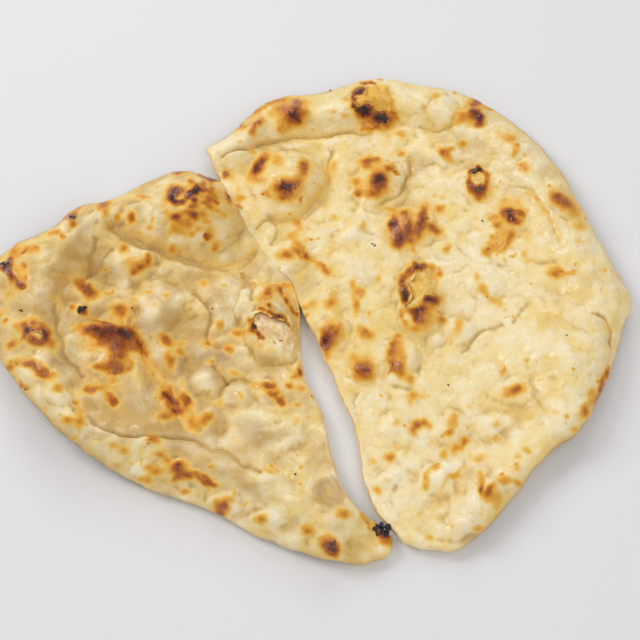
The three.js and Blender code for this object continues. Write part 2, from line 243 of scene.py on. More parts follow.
# Blisters and creases of the upper face, with a few dents of negative height.
BLISTERS = {
    "left_half": [
        (-60, 62, 27, 24, 6, -10), (-56, 71, 13, 9, 2, -20), (-22, 2, 14, 23, 6, 12),
        (-43, 11, 14, 15, 3), (-73, 8, 14, 15, 3), (-86, 31, 13, 12, 3), (-88, -5, 13, 7, 3.5, -12),
        (-91, -22, 8, 10, 2.5, 20), (-105, 18, 9, 10, 2.5), (-106, 5, 6, 6, 2),
        (-125, -6, 8, 9, 2.2), (-137, 26, 8, 9, 2.4), (-116, 56, 8, 6, 2.2, 30),
        (-98, 60, 8, 6, 2, 20), (-84, 60, 8, 8, 2.2), (-48, -30, 9, 9, 3.6), (-35, -38, 8, 7, 2.6),
        (-48, -51, 8, 7, 2), (-66, -17, 7, 9, 2.2, 20), (-22, -35, 10, 7, 2.4, -30),
        (-7, -26, 6, 8, 2), (-13, -57, 9, 10, 2, 0, 2), (-59, -75, 12, 7, 2.6, -25),
        (-73, -77, 7, 6, 1.8), (-88, -66, 9, 6, 1.8, -30), (-104, -55, 8, 6, 2, -40),
        (-112, -36, 8, 7, 2, -40), (-129, -30, 8, 7, 1.8), (-94, -38, 9, 6, 2.2, -30),
        (-40, -92, 9, 7, 2), (-22, -99, 8, 6, 1.8, -20), (4, -111, 9, 8, 2.2),
        (3, -88, 9, 8, -2, 0, 2),
        ([(-93, 52), (-87, 46), (-80, 41), (-67, 37.5), (-55, 33), (-41, 29.5), (-32, 33),
          (-28, 41)], 4.0),
        ([(-83, 6), (-81, -5), (-77, -16), (-70, -27), (-63, -40), (-58, -52)], 3.2),
        ([(-100, 1), (-94, 6), (-88, 9), (-83, 6)], 1.6),
        ([(-56, 14), (-50.5, 6), (-48.7, -4.8), (-45.5, -13), (-41.6, -15.3)], 1.5),
        ([(-101, 47), (-104, 37), (-103.4, 30), (-105.6, 22)], 1.8),
        ([(-104, -46), (-95, -52), (-84, -58.3), (-73, -58.3), (-60.8, -59.4), (-46.6, -63.8),
          (-40, -67), (-31.5, -73.5), (-24, -75.6)], 1.8),
        ([(-58, -46), (-53.6, -52.8), (-50.2, -55.6)], 2.6),
        ([(-39.1, -33.8), (-32.5, -30.4), (-26.7, -33.8), (-20, -37.7)], 1.1),
        ([(-104, 24), (-106, 21), (-106, 15), (-104, 11)], 1.2),
        ([(-80.5, 6), (-80, -2), (-82, -8)], 1.2), ([(-36, 26), (-30, 18), (-31, 8)], 1.4),
        ([(-118, 14), (-116, 0), (-112, -14), (-104, -28)], 1.6),
        ([(-46.1, -24.6), (-41.1, -30.4), (-39.1, -34.9)], 1.3),
    ],
    "right_half": [
        (-14, 80, 18, 21, 4.8, -10), (28, 79, 14, 15, 4), (-13, 121, 10, 8, 3, 20),
        (-31, 113, 9, 6, 2.2, 45), (26, 128, 10, 14, 5, 10), (58, 124, 8, 11, 4, -10),
        (74, 120, 8, 8, 2.4), (93, 100, 8, 8, 2), (73, 79, 9, 11, 2.6), (58, 96, 8, 8, 2),
        (111, 68, 6, 11, 2.8, 25), (87, 58, 10, 9, 2.6), (41, 54, 13, 13, 3.4),
        (14, 52, 11, 13, 2.2, 0, 2), (-10, 40, 11, 10, 2.4, -30, 2), (44, 14, 11, 21, 4.5),
        (6, -4, 8, 10, 3), (3, 15, 7, 9, 1.8), (19, -26, 7, 7, 2.6), (36, -21, 7, 14, 3, 5),
        (62, -4, 7, 8, 1.8), (74, 20, 9, 10, 1.8), (105, 25, 10, 9, 2), (100, -14, 20, 19, 2, 0, 2),
        (84, -36, 9, 7, 1.8, 20), (56, -54, 9, 9, 2.2), (72, -52, 8, 7, 1.8), (33, -55, 9, 9, 1.8),
        (48, -79, 9, 9, 2.4), (69, -85, 9, 8, 2.6), (31, -78, 7, 8, 1.8), (60, -101, 10, 6, 2, 30),
        ([(-46, 95), (-33, 100.5), (-16, 104.5), (-4, 105), (8, 108.5), (24, 109)], 1.8),
        ([(47, 113), (52, 110.5), (58, 112), (67, 114)], 1.0),
        ([(88, 76), (96, 74), (101, 67), (105, 56), (109, 44)], 0.7),
        ([(85, 0), (90, 6), (94, 10)], 0.9), ([(124, 4), (127, -13), (124, -30)], 1.6),
        ([(14, -38), (16, -58), (21, -74)], 0.8), ([(-29.2, 51.6), (-26, 54.5), (-22, 56.3)], 1.1),
        ([(-20.5, 55), (-19.5, 50), (-22, 43)], 0.9),
        ([(5, 96), (4.5, 84), (3, 76), (-1, 68), (-6, 62), (-12, 57.5), (-20, 55)], 1.3),
        ([(42, 92), (42, 82), (37, 70), (28, 64)], 1.2), ([(62, -16), (70, -6), (79, -3)], 0.9),
        ([(62, 40), (72, 32), (84, 30)], 0.4),
    ],
}

# Torn openings: outline, depth, how brown the crumb inside is, and the direction in
# degrees of the side where the torn skin stands up, if one does.
TEARS = {
    "left_half": [
        ([(-29.5, 3.5), (-26, 4.8), (-22, 2.5), (-18, 0.5), (-15, -0.5), (-12.5, -6), (-11, -10),
          (-12, -17), (-18, -15), (-22, -10.5), (-25.5, -8), (-28.5, -4),
          (-29.8, 0)], 1.4, 0.07, 135),
        ([(-17.5, 17.5), (-14.5, 12), (-11, 6), (-8.9, 8), (-8.4, 14), (-9.5, 18),
          (-13, 18.5)], 1.3, 0.17, None),
        ([(-126, -7), (-124, -6), (-121.5, -7), (-122, -9), (-124.5, -8.8)], 0.8, 0.2, 60),
        ([(-138.4, 27.6), (-136.5, 30.8), (-133.6, 30), (-132.4, 26.5), (-132.8, 22.4),
          (-134.6, 22), (-136.4, 24.8)], 0.8, 0.27, None),
    ],
    "right_half": [
        ([(42.2, 27.4), (46.4, 27.4), (50.5, 26.6), (52.8, 23.7), (53.4, 20), (52.8, 15.6),
          (51.8, 13), (49.7, 13.4), (47.1, 14.8), (45.9, 11.9), (43.9, 7.6), (41.5, 6.1),
          (38.6, 5.8), (36.8, 6.8), (37.6, 8.3), (39.3, 9.7), (40.3, 13.4), (39.2, 17.8),
          (38.4, 21.5), (40.8, 21.8), (42.1, 23.7)], 1.6, 0.19, 200),
        ([(22, 138), (28, 139), (31, 136), (33, 131), (34, 125), (33, 121.5), (29.5, 121.5),
          (25.5, 122), (25.3, 125), (24, 127), (21, 126.5), (19, 125), (16.8, 126), (16.6, 130),
          (18, 132), (21.5, 132.4), (22, 135)], 0.6, 0.24, 225),
        ([(70.4, 80.5), (71.2, 78), (72.4, 78.6), (73.2, 76.6), (74.4, 78.2), (75.6, 77.6),
          (76, 80.8), (75, 81.8), (75.4, 83.6), (73.8, 83), (72.6, 84.4),
          (71.3, 83)], 0.7, 0.2, None),
    ],
}

# ------------------------------------------------------------------ browning
# Spots: x, y, size along and across, heat from 0.2 faint gold to 1 black, turn in degrees.
SPOTS = {
    "right_half": [
        (-12, 119.8, 5.5, 8.5, 0.86, 5), (-16.5, 122, 8, 9, 0.38), (-11.5, 127, 4.5, 5, 0.46),
        (-13, 114.5, 9, 5, 0.34), (-13, 120, 17, 18, 0.2), (-20.5, 124, 3, 3, 0.3),
        (-23.5, 120, 2.5, 2.5, 0.25), (-7.5, 121, 3.5, 4, 0.38), (-7, 128, 5, 4, 0.3),
        (-29.5, 115, 6.5, 4, 0.55, 60), (-32, 109.5, 3, 5, 0.46), (-37, 112, 4, 3, 0.42, 50),
        (-18, 110, 4.5, 2.5, 0.42, -20), (-28.7, 88, 13.5, 4.4, 0.84, 63),
        (-27.5, 86.5, 14, 7, 0.12, 63), (-29, 79.5, 6, 3, 0.3), (-19.5, 91.5, 4.5, 8, 0.28),
        (-32, 97, 4, 4, 0.3), (-25, 99.5, 2.5, 2.5, 0.22), (-8, 87.5, 4.5, 8, 0.5),
        (-7, 87, 7, 11, 0.22), (-44, 83, 3, 4.5, 0.64), (-41, 81, 5, 5.5, 0.26),
        (-16, 75.5, 8, 7, 0.72), (-15.5, 75.5, 4.5, 4.5, 0.5), (-16, 74, 14, 13, 0.34),
        (-16, 69, 8, 4, 0.34), (-10, 79, 4, 5, 0.34), (-25, 71, 3.5, 2.5, 0.4, -20),
        (-37, 68.5, 5, 3.5, 0.4), (-37, 64, 3, 1.8, 0.6, -40), (-38, 74, 2, 3, 0.25),
        (6.5, 88, 3, 9, 0.28), (18.5, 135, 5, 5, 0.8), (20, 134.5, 3, 4, 0.8),
        (21.5, 122.5, 7.5, 7.5, 0.97), (29, 117.8, 8.6, 7.4, 1), (26.5, 112.5, 3, 4, 0.5),
        (32, 113.5, 3, 4, 0.42), (20, 117, 9, 6, 0.28, -50), (29, 111, 12, 5, 0.2),
        (35, 119, 4, 8, 0.2), (29.5, 142.5, 2, 1.5, 0.5), (12, 130, 2.5, 3, 0.4),
        (11.5, 119.5, 3, 2.5, 0.26), (6, 122, 4, 3, 0.22), (38.5, 107.5, 4.5, 4, 0.36),
        (32, 105.5, 4, 4, 0.2), (22.5, 97.5, 3, 3, 0.22), (22.5, 90.5, 7, 5.5, 0.5),
        (22.5, 90.5, 3, 3, 0.4), (27, 92, 3.5, 2.5, 0.45, 20), (22, 87.3, 4, 2, 0.3),
        (32.5, 86.5, 4.5, 4, 0.58), (27.5, 80.3, 6, 7.8, 1), (24.5, 78, 3, 4, 0.4),
        (27, 75, 6, 3, 0.42), (25.5, 72.5, 8, 6, 0.34), (24.5, 70.5, 5, 4, 0.3),
        (27.5, 80, 11, 13, 0.2), (16.5, 78.5, 4.5, 5.5, 0.42), (17.5, 71.5, 3.5, 5, 0.55),
        (38.5, 95.5, 3, 3, 0.42), (37, 97, 6, 5, 0.16), (56, 132, 4, 3.5, 0.38),
        (55.5, 128, 2.5, 3, 0.22), (65, 133.5, 1.5, 2, 0.5), (73.5, 121, 5, 7, 0.76),
        (76, 117.5, 3.5, 7, 0.82), (75, 128, 5.5, 5, 0.7), (68, 119.5, 6, 5, 0.4),
        (67, 116, 7, 3, 0.3), (75, 113.5, 4, 3, 0.6), (72, 120, 15, 14, 0.1),
        (58, 97, 4.5, 4.5, 0.6), (60, 93, 7.5, 3.5, 0.4, -57), (62, 98.7, 4, 2, 0.35, 20),
        (67, 101.5, 4.5, 3.5, 0.42, 15), (90, 104.5, 5.5, 5.5, 0.4), (93, 100.5, 3, 2.5, 0.42),
        (92, 97, 4, 3, 0.3), (91, 94.5, 3, 3, 0.28), (96.5, 95, 2.5, 2.5, 0.28),
        (94.5, 87.5, 4, 5, 0.45), (84.5, 108, 5, 6, 0.2), (81.5, 90.5, 2, 3, 0.2),
        (71, 84.7, 3.5, 2.5, 0.95, 20), (73.8, 86.5, 1.8, 4, 0.95), (75.7, 85.3, 1.8, 2, 0.9),
        (73.2, 73, 6.5, 5.5, 0.86), (73, 68.5, 4, 4, 0.48), (79, 78, 3.5, 13, 0.16),
        (110.3, 68.3, 8, 4.5, 0.58, -60), (114, 65, 17, 8, 0.42, -55), (118, 52, 8, 5, 0.24),
        (88, 66, 13, 7, 0.12), (85, 68, 3, 2.5, 0.2), (91, 66.5, 3, 2.5, 0.18),
        (86, 60.5, 5, 5, 0.78), (87.5, 57, 3.6, 5, 0.72), (90, 55.3, 4.5, 3, 0.66),
        (92, 60, 4, 4, 0.52), (89.5, 60.8, 3, 1.5, 0.5), (86, 57.5, 12, 12, 0.18),
        (79, 57.5, 4.5, 2.5, 0.36, 15), (81, 53, 4, 3.5, 0.48), (71, 57, 2.5, 2.5, 0.22),
        (72, 50.5, 4, 3, 0.24), (83, 48.5, 5, 4, 0.26), (87, 47, 5.5, 3, 0.46, 75),
        (65, 46, 2.5, 2.5, 0.22), (74.5, 38, 4, 4, 0.3), (94, 45.5, 4, 7, 0.2, 20),
        (92, 36.5, 4.5, 2.5, 0.3, 70), (94.5, 32.5, 5, 2.5, 0.26, 25), (83, 33, 2.5, 2.5, 0.24),
        (104, 37.5, 3, 3, 0.18), (106, 26, 8, 7, 0.36, 20), (105, 26, 4, 3.5, 0.3),
        (56.5, 69, 2.5, 3, 0.26), (55, 62.3, 5, 4, 0.46, 25), (63.5, 64, 2.5, 2.5, 0.2),
        (54, 49, 4, 5, 0.42), (57.5, 40, 5.5, 3.5, 0.38, 65), (33.5, 54, 8, 3.6, 0.92, 80),
        (36.5, 45, 3, 8, 0.62), (40, 51, 3, 11, 0.54), (38.5, 60, 3, 4, 0.52),
        (46.5, 56.5, 15, 3.4, 0.72, 78), (51, 51.5, 6, 3, 0.54, -63), (34, 46, 4, 8, 0.46),
        (40.5, 45, 4, 3, 0.4), (42, 39, 1.5, 4, 0.34), (35, 42, 4, 5, 0.44),
        (42.5, 53, 14, 17, 0.22), (6.5, 57.5, 3, 3.5, 0.3), (12, 56.3, 4, 3, 0.22),
        (19.5, 52.5, 6, 3.5, 0.26, 75), (5, 38, 5, 11, 0.2, -10), (2.2, 27.5, 3, 4, 0.16),
        (-9.5, 39, 9, 11, 0.14), (-15.5, 35.8, 9, 5, 0.34, 20), (-9, 23, 9, 12, 0.17),
        (9, 22, 9, 9, 0.12), (4.5, 27, 7, 7, 0.14), (98, 85.5, 6, 6, 0.16), (-15, 36, 4, 2.5, 0.3),
        (-13.2, 46.8, 4.5, 3.5, 0.34), (-9.6, 51.8, 4, 6, 0.28), (-10.2, 54.9, 3, 2.5, 0.4),
        (-4.7, 44.5, 6, 2.5, 0.26, 10), (41.5, 50.5, 13, 11, 0.24), (14.8, 20, 2.5, 6, 0.28),
        (18, 15, 5, 5, 0.42), (16, 8, 3, 9, 0.42), (5, 9, 6, 7, 0.3), (4, 9, 3, 3, 0.2),
        (5.5, 15, 4, 4, 0.18), (26, 22, 3, 4.5, 0.34), (22, 3.5, 2.5, 3, 0.32),
        (19.5, -7, 7.5, 5.5, 0.52, -40), (3, -10.5, 4.5, 10, 0.78), (6.5, -6.5, 8, 13, 0.44),
        (1.5, -20, 4, 5, 0.5), (0.5, -14, 3, 4, 0.6), (18.5, -25.5, 7, 7.6, 0.58),
        (19, -26, 11, 12, 0.24), (20, -30, 6, 3, 0.3), (14, -20, 3, 2, 0.24),
        (35, -17, 4, 12, 0.32), (35, -25, 3.5, 6, 0.42), (38.5, -31, 4.5, 4.5, 0.44),
        (39.5, -38.8, 4, 3, 0.44), (44, -40, 4, 3, 0.28), (39, -43, 2.5, 4, 0.26),
        (13, -37, 8, 4, 0.15), (53.5, 0, 3.5, 3, 0.5), (61, -3, 9, 3.5, 0.34, 80),
        (57, -9, 2.5, 5, 0.2), (38, 13.2, 3.4, 8, 1), (48.4, 11.6, 7, 4, 0.9),
        (51.7, 10.5, 3.5, 3.5, 0.74), (41, 5, 5.5, 2.8, 0.86), (44.5, 5.5, 5, 3, 0.7, 20),
        (43, 1.5, 3.5, 6, 0.74, 15), (47, 1.5, 9, 13, 0.34), (41, -5, 6, 3, 0.42),
        (48, 7, 6, 4, 0.24), (70, 23.5, 5, 2.5, 0.3, 75), (72, 17.5, 4, 4, 0.42),
        (73.5, 14.5, 2.5, 2, 0.34), (76.5, 11, 3.5, 3.5, 0.3), (79.5, 9, 5, 6, 0.22),
        (127, 27, 2.5, 3, 0.26), (126, -5, 3, 5, 0.26), (79, -26, 3, 6, 0.4),
        (83, -36.8, 9.5, 4.5, 0.52, 27), (84, -36.5, 4, 3, 0.4, 30), (94, -30, 3, 4, 0.2),
        (100, -48, 3, 2.5, 0.26), (74.5, -54, 3.5, 3.5, 0.32), (63.5, -45, 3, 2, 0.26, 20),
        (69, -46, 2, 2, 0.26), (73, -47, 2, 2, 0.24), (22.5, -48, 2, 4, 0.22),
        (32.5, -52.5, 4.5, 5, 0.24), (41.5, -54.3, 4, 3, 0.36, 30), (56, -52, 8, 4, 0.36, 70),
        (54.5, -58, 3, 3, 0.4), (63, -55, 4, 2.5, 0.24), (51.5, -68.5, 4.5, 2.5, 0.4, 75),
        (28.8, -69.8, 4.5, 4, 0.48, 20), (22.5, -72, 2.5, 3, 0.3), (28, -81, 3, 2.5, 0.26),
        (23.5, -86, 3.5, 3.5, 0.36), (18, -64, 2, 1.5, 0.22), (66.5, -70.5, 5, 3, 0.36, 20),
        (62.5, -69, 2.5, 2, 0.22), (56.5, -79, 4, 3, 0.36), (66.6, -80, 3, 6, 0.42),
        (66.5, -85.6, 5, 1.4, 0.66, 80), (69.8, -85.6, 6, 1.8, 0.8, 50), (71.5, -89, 7, 6, 0.42),
        (76.5, -81, 3.8, 3.4, 0.46), (82.5, -82.5, 4, 2.6, 0.48, -15), (87, -67, 3.5, 3.5, 0.38),
        (82.5, -69.5, 2.5, 4, 0.26), (82, -75, 3, 2.5, 0.24), (79.5, -76, 8, 7, 0.14),
        (72.5, -94, 4, 2, 0.26, 40), (54, -102, 3, 3, 0.22), (64, -103.5, 5, 2.5, 0.4, 15),
        (44.5, -107.5, 3.5, 3, 0.36), (44.5, -112, 2, 1.5, 0.3), (117.5, -42.5, 3, 3, 0.45),
        (116, -38, 5, 2.5, 0.36, 70), (113, -47, 7, 4, 0.52, 55), (107.5, -57, 4, 3, 0.38, 30),
    ],
    "left_half": [
        (-99.5, 65, 6, 5, 0.58, 20), (-98.5, 60, 3.5, 5, 0.42), (-93, 57, 2.5, 4, 0.48),
        (-112, 61, 5, 3, 0.38, 20), (-113.3, 57.5, 2.5, 3, 0.92), (-113, 53, 3.5, 3.5, 0.6),
        (-126.5, 46.5, 2, 1.5, 0.4), (-133, 40.5, 4, 2, 0.42, 20), (-128.5, 40, 3, 3, 0.42),
        (-138, 38, 5, 4, 0.42, 30), (-136, 35, 3, 3, 0.28), (-139.5, 32.5, 3, 5, 0.8),
        (-141.5, 29, 4, 4, 0.92), (-137, 22, 5, 6, 0.34), (-132, 18, 3, 2.5, 0.45),
        (-137, 14, 6, 7, 0.24), (-139, -1.5, 4, 2.5, 0.3, -60), (-123.5, -4.8, 4, 1.6, 0.85),
        (-117, -13, 7, 5, 0.42, -45), (-134, -12.5, 6, 4.5, 0.56, 35),
        (-104.3, 17.6, 13, 5.6, 0.68, -45), (-103, 13, 4, 4, 0.4), (-105, 5, 4, 4, 0.8),
        (-109.7, 7.2, 2.4, 3.4, 0.66), (-94, 14.5, 4, 2.5, 0.4, -20), (-97, 27.5, 2, 4, 0.26),
        (-67.6, 73.5, 5, 5, 0.78), (-68.6, 69.5, 3.5, 5, 0.8), (-64, 73, 5, 5, 0.35),
        (-71, 69, 4, 4, 0.4), (-57.8, 73, 3.2, 3.4, 0.95), (-52.5, 69.5, 9, 9, 0.28),
        (-50.9, 72, 2.4, 2.4, 0.5), (-48.6, 69, 2, 2.4, 0.5), (-47.6, 65.8, 2.6, 2.4, 0.55),
        (-51.6, 67.5, 2.2, 2.6, 0.5), (-53.8, 66, 2.4, 1.8, 0.45), (-49.8, 75.2, 2, 2, 0.45),
        (-54.5, 77.3, 3, 2.4, 0.45), (-60, 79, 2.5, 4, 0.5, 20), (-42.2, 70.3, 3, 7.5, 0.76, 10),
        (-57.8, 58.6, 4, 4, 0.78), (-58.6, 64, 4, 3, 0.55), (-53.5, 59.4, 2.6, 2.4, 0.5),
        (-50.6, 63.3, 3, 2.8, 0.55), (-59.4, 53.2, 3, 3, 0.4), (-52.1, 54.7, 2.6, 2.4, 0.42),
        (-55.5, 50.8, 2.4, 2.6, 0.36), (-61.5, 60.5, 3, 2.6, 0.4), (-70.5, 60, 3, 2.4, 0.3),
        (-72, 64.5, 3, 3, 0.24), (-47, 61, 2.4, 2.2, 0.4), (-58.5, 47.5, 2.5, 2.5, 0.36),
        (-50.5, 46.5, 2.5, 4, 0.48), (-66.3, 57.8, 5.4, 4.6, 0.62), (-65.6, 57.9, 4, 2.2, 0.5, 65),
        (-67.2, 51.6, 4, 3, 0.34), (-63.1, 53.9, 4.4, 4, 0.4), (-66.5, 39, 4.5, 3.5, 0.5),
        (-77, 56, 1.8, 3, 0.4), (-78, 51.5, 3, 2.5, 0.34), (-76, 75.5, 2.5, 2.5, 0.26),
        (-78, 45, 4, 2, 0.26), (-83, 47.5, 3, 2.5, 0.26), (-55, 64, 24, 24, 0.15),
        (-50, 79, 4, 2, 0.45), (-47.5, 40, 3.5, 6, 0.52), (-43.5, 58.5, 3, 3, 0.3),
        (-82, 69.5, 6, 2.5, 0.44, -10), (-86.5, 57.5, 6.5, 4, 0.62, -75), (-89, 39.5, 4, 5, 0.48),
        (-83.5, 31, 9, 8, 0.32), (-79, 22, 3, 2, 0.3), (-52, 20, 3, 4.5, 0.36),
        (-89.5, -6, 15, 5.5, 0.86, -8), (-84.5, -8.5, 7, 5, 0.6, -35),
        (-100.5, -4.8, 11, 5, 0.68, -4), (-96, -7.5, 6, 4, 0.56), (-92, -10.5, 10, 5, 0.54, -10),
        (-96.5, -13, 8, 4.5, 0.34), (-90, -15.5, 4.5, 9, 0.48), (-85, -13.8, 7.5, 4.5, 0.48, -20),
        (-81.5, -15, 3, 3, 0.5, -30), (-88, -20, 4.5, 6, 0.42), (-91, -24.5, 7.5, 6.5, 0.54),
        (-96.5, -24.5, 5, 3, 0.5), (-87, -26, 5, 5, 0.56), (-82.5, -25.5, 2.5, 3, 0.45),
        (-89, -32, 3, 3, 0.38), (-100, -16.5, 3, 3, 0.28), (-88.3, 4.6, 8, 7, 0.52, -40),
        (-88.8, 6.8, 3.6, 2.4, 0.5), (-76.5, 15.5, 4, 2, 0.36), (-68.5, 13, 2.5, 3.5, 0.42),
        (-82.5, 11, 4, 3, 0.26), (-73, 8.5, 3, 3, 0.24), (-44, -3, 3, 6, 0.42),
        (-67, -10.5, 7, 4, 0.62, -45), (-60.5, -17, 4, 3, 0.42, -50), (-65, -21.5, 8, 4, 0.58, -75),
        (-60, -12.5, 4, 3, 0.3), (-49, -12.5, 5, 3, 0.42, -20), (-47.5, -22, 3.5, 3, 0.34),
        (-59.5, -33, 2.5, 3, 0.3), (-57, -41, 7, 3.6, 0.68, -60), (-66.5, -50, 6, 4.5, 0.5),
        (-48, -51, 6.5, 5, 0.52, 45), (-54, -53, 5, 5, 0.3), (-97.5, -37.5, 3.5, 3, 0.5),
        (-88.5, -42, 5, 3, 0.62, -50), (-78.5, -29, 3, 5, 0.26), (-77, -35, 3, 3, 0.2),
        (-69.5, -41, 2.5, 2.5, 0.3), (-23, 15.4, 5, 5, 0.56), (-25, 11.6, 6.5, 4.5, 0.36),
        (-22, 7.5, 1.8, 1.2, 0.7), (-18, 1.5, 3, 2, 0.82, -20), (-30, -5.5, 4, 4, 0.42),
        (-25, -1, 1.4, 1.4, 0.45), (-20, -4.5, 1.5, 1.6, 0.6), (-17, -11, 1.4, 2.2, 0.65),
        (-7.5, -27.5, 5, 3.5, 0.74, -20), (-10.5, -30, 4, 3, 0.42), (-9, -23, 3, 3, 0.3),
        (-36, -7, 4, 4, 0.52), (-39.5, -15, 5, 3.5, 0.52, -70), (-37, -27.5, 5, 3, 0.34, -30),
        (-22.5, -34, 5, 3, 0.56), (-20.5, -35.5, 3.5, 3, 0.42), (-13.5, -34.5, 4, 3, 0.48),
        (-28, -34.5, 5, 5, 0.3), (-8, -36, 5, 3, 0.34), (-13.4, 16.3, 5, 5, 0.34),
        (-21.7, -15.9, 6, 5, 0.2), (-50, 50, 5, 5, 0.2), (-131, 38.6, 6, 5, 0.32),
        (-22, -38.5, 3, 2, 0.4), (-9.5, -44, 3, 2.5, 0.4), (-34, -38.5, 2.5, 2.5, 0.36),
        (-10, -52, 3, 3, 0.24), (-26.5, -14, 3, 3, 0.24), (-125.5, -23.5, 4, 2.5, 0.56),
        (-121, -26, 7, 5, 0.36, -40), (-117.5, -28.5, 7, 4, 0.34, -10), (-134.5, -25, 3, 4, 0.36),
        (-128.5, -34, 5, 3, 0.46, -60), (-125.5, -35.3, 1.5, 2.5, 0.72),
        (-112.5, -35.5, 4.5, 4, 0.5), (-106.5, -52, 5, 4, 0.5), (-101.5, -53, 3, 8, 0.42),
        (-103.5, -60.5, 3, 3, 0.34), (-87, -64.5, 4, 5, 0.26), (-82, -66.5, 4, 4.5, 0.42),
        (-70, -61.5, 5.5, 4, 0.48, -20), (-79, -73, 4, 2, 0.22), (-71, -75.5, 4.6, 5.4, 0.38),
        (-67.5, -77, 5, 3.6, 0.36), (-74, -80.5, 4, 2, 0.38), (-71, -81.5, 3, 2.5, 0.42),
        (-59, -74, 6.5, 4, 0.66, 15), (-59, -76.5, 3, 3, 0.5), (-55, -86.5, 4, 3, 0.4),
        (-45.5, -74.5, 2.5, 2, 0.4, -40), (-7.5, -75, 2.5, 2, 0.4), (-40.5, -93.5, 6, 7, 0.5),
        (-39.5, -93, 2.5, 4, 0.5), (-41, -96.5, 3, 2, 0.55), (-24.5, -99.3, 5, 4.5, 0.48),
        (-5, -104, 5, 5, 0.48), (9.5, -97, 6, 4, 0.48, -15), (3.8, -87, 9, 8, 0.1),
        (2.5, -110.5, 6, 7, 0.46), (5.3, -113, 7, 4.2, 0.84, -75), (26, -103.4, 4.6, 6, 1),
        (20.5, -101.8, 4, 4, 0.24), (26.8, -106.5, 5.4, 3, 0.82), (27, -109.8, 5, 4, 0.46),
    ],
}

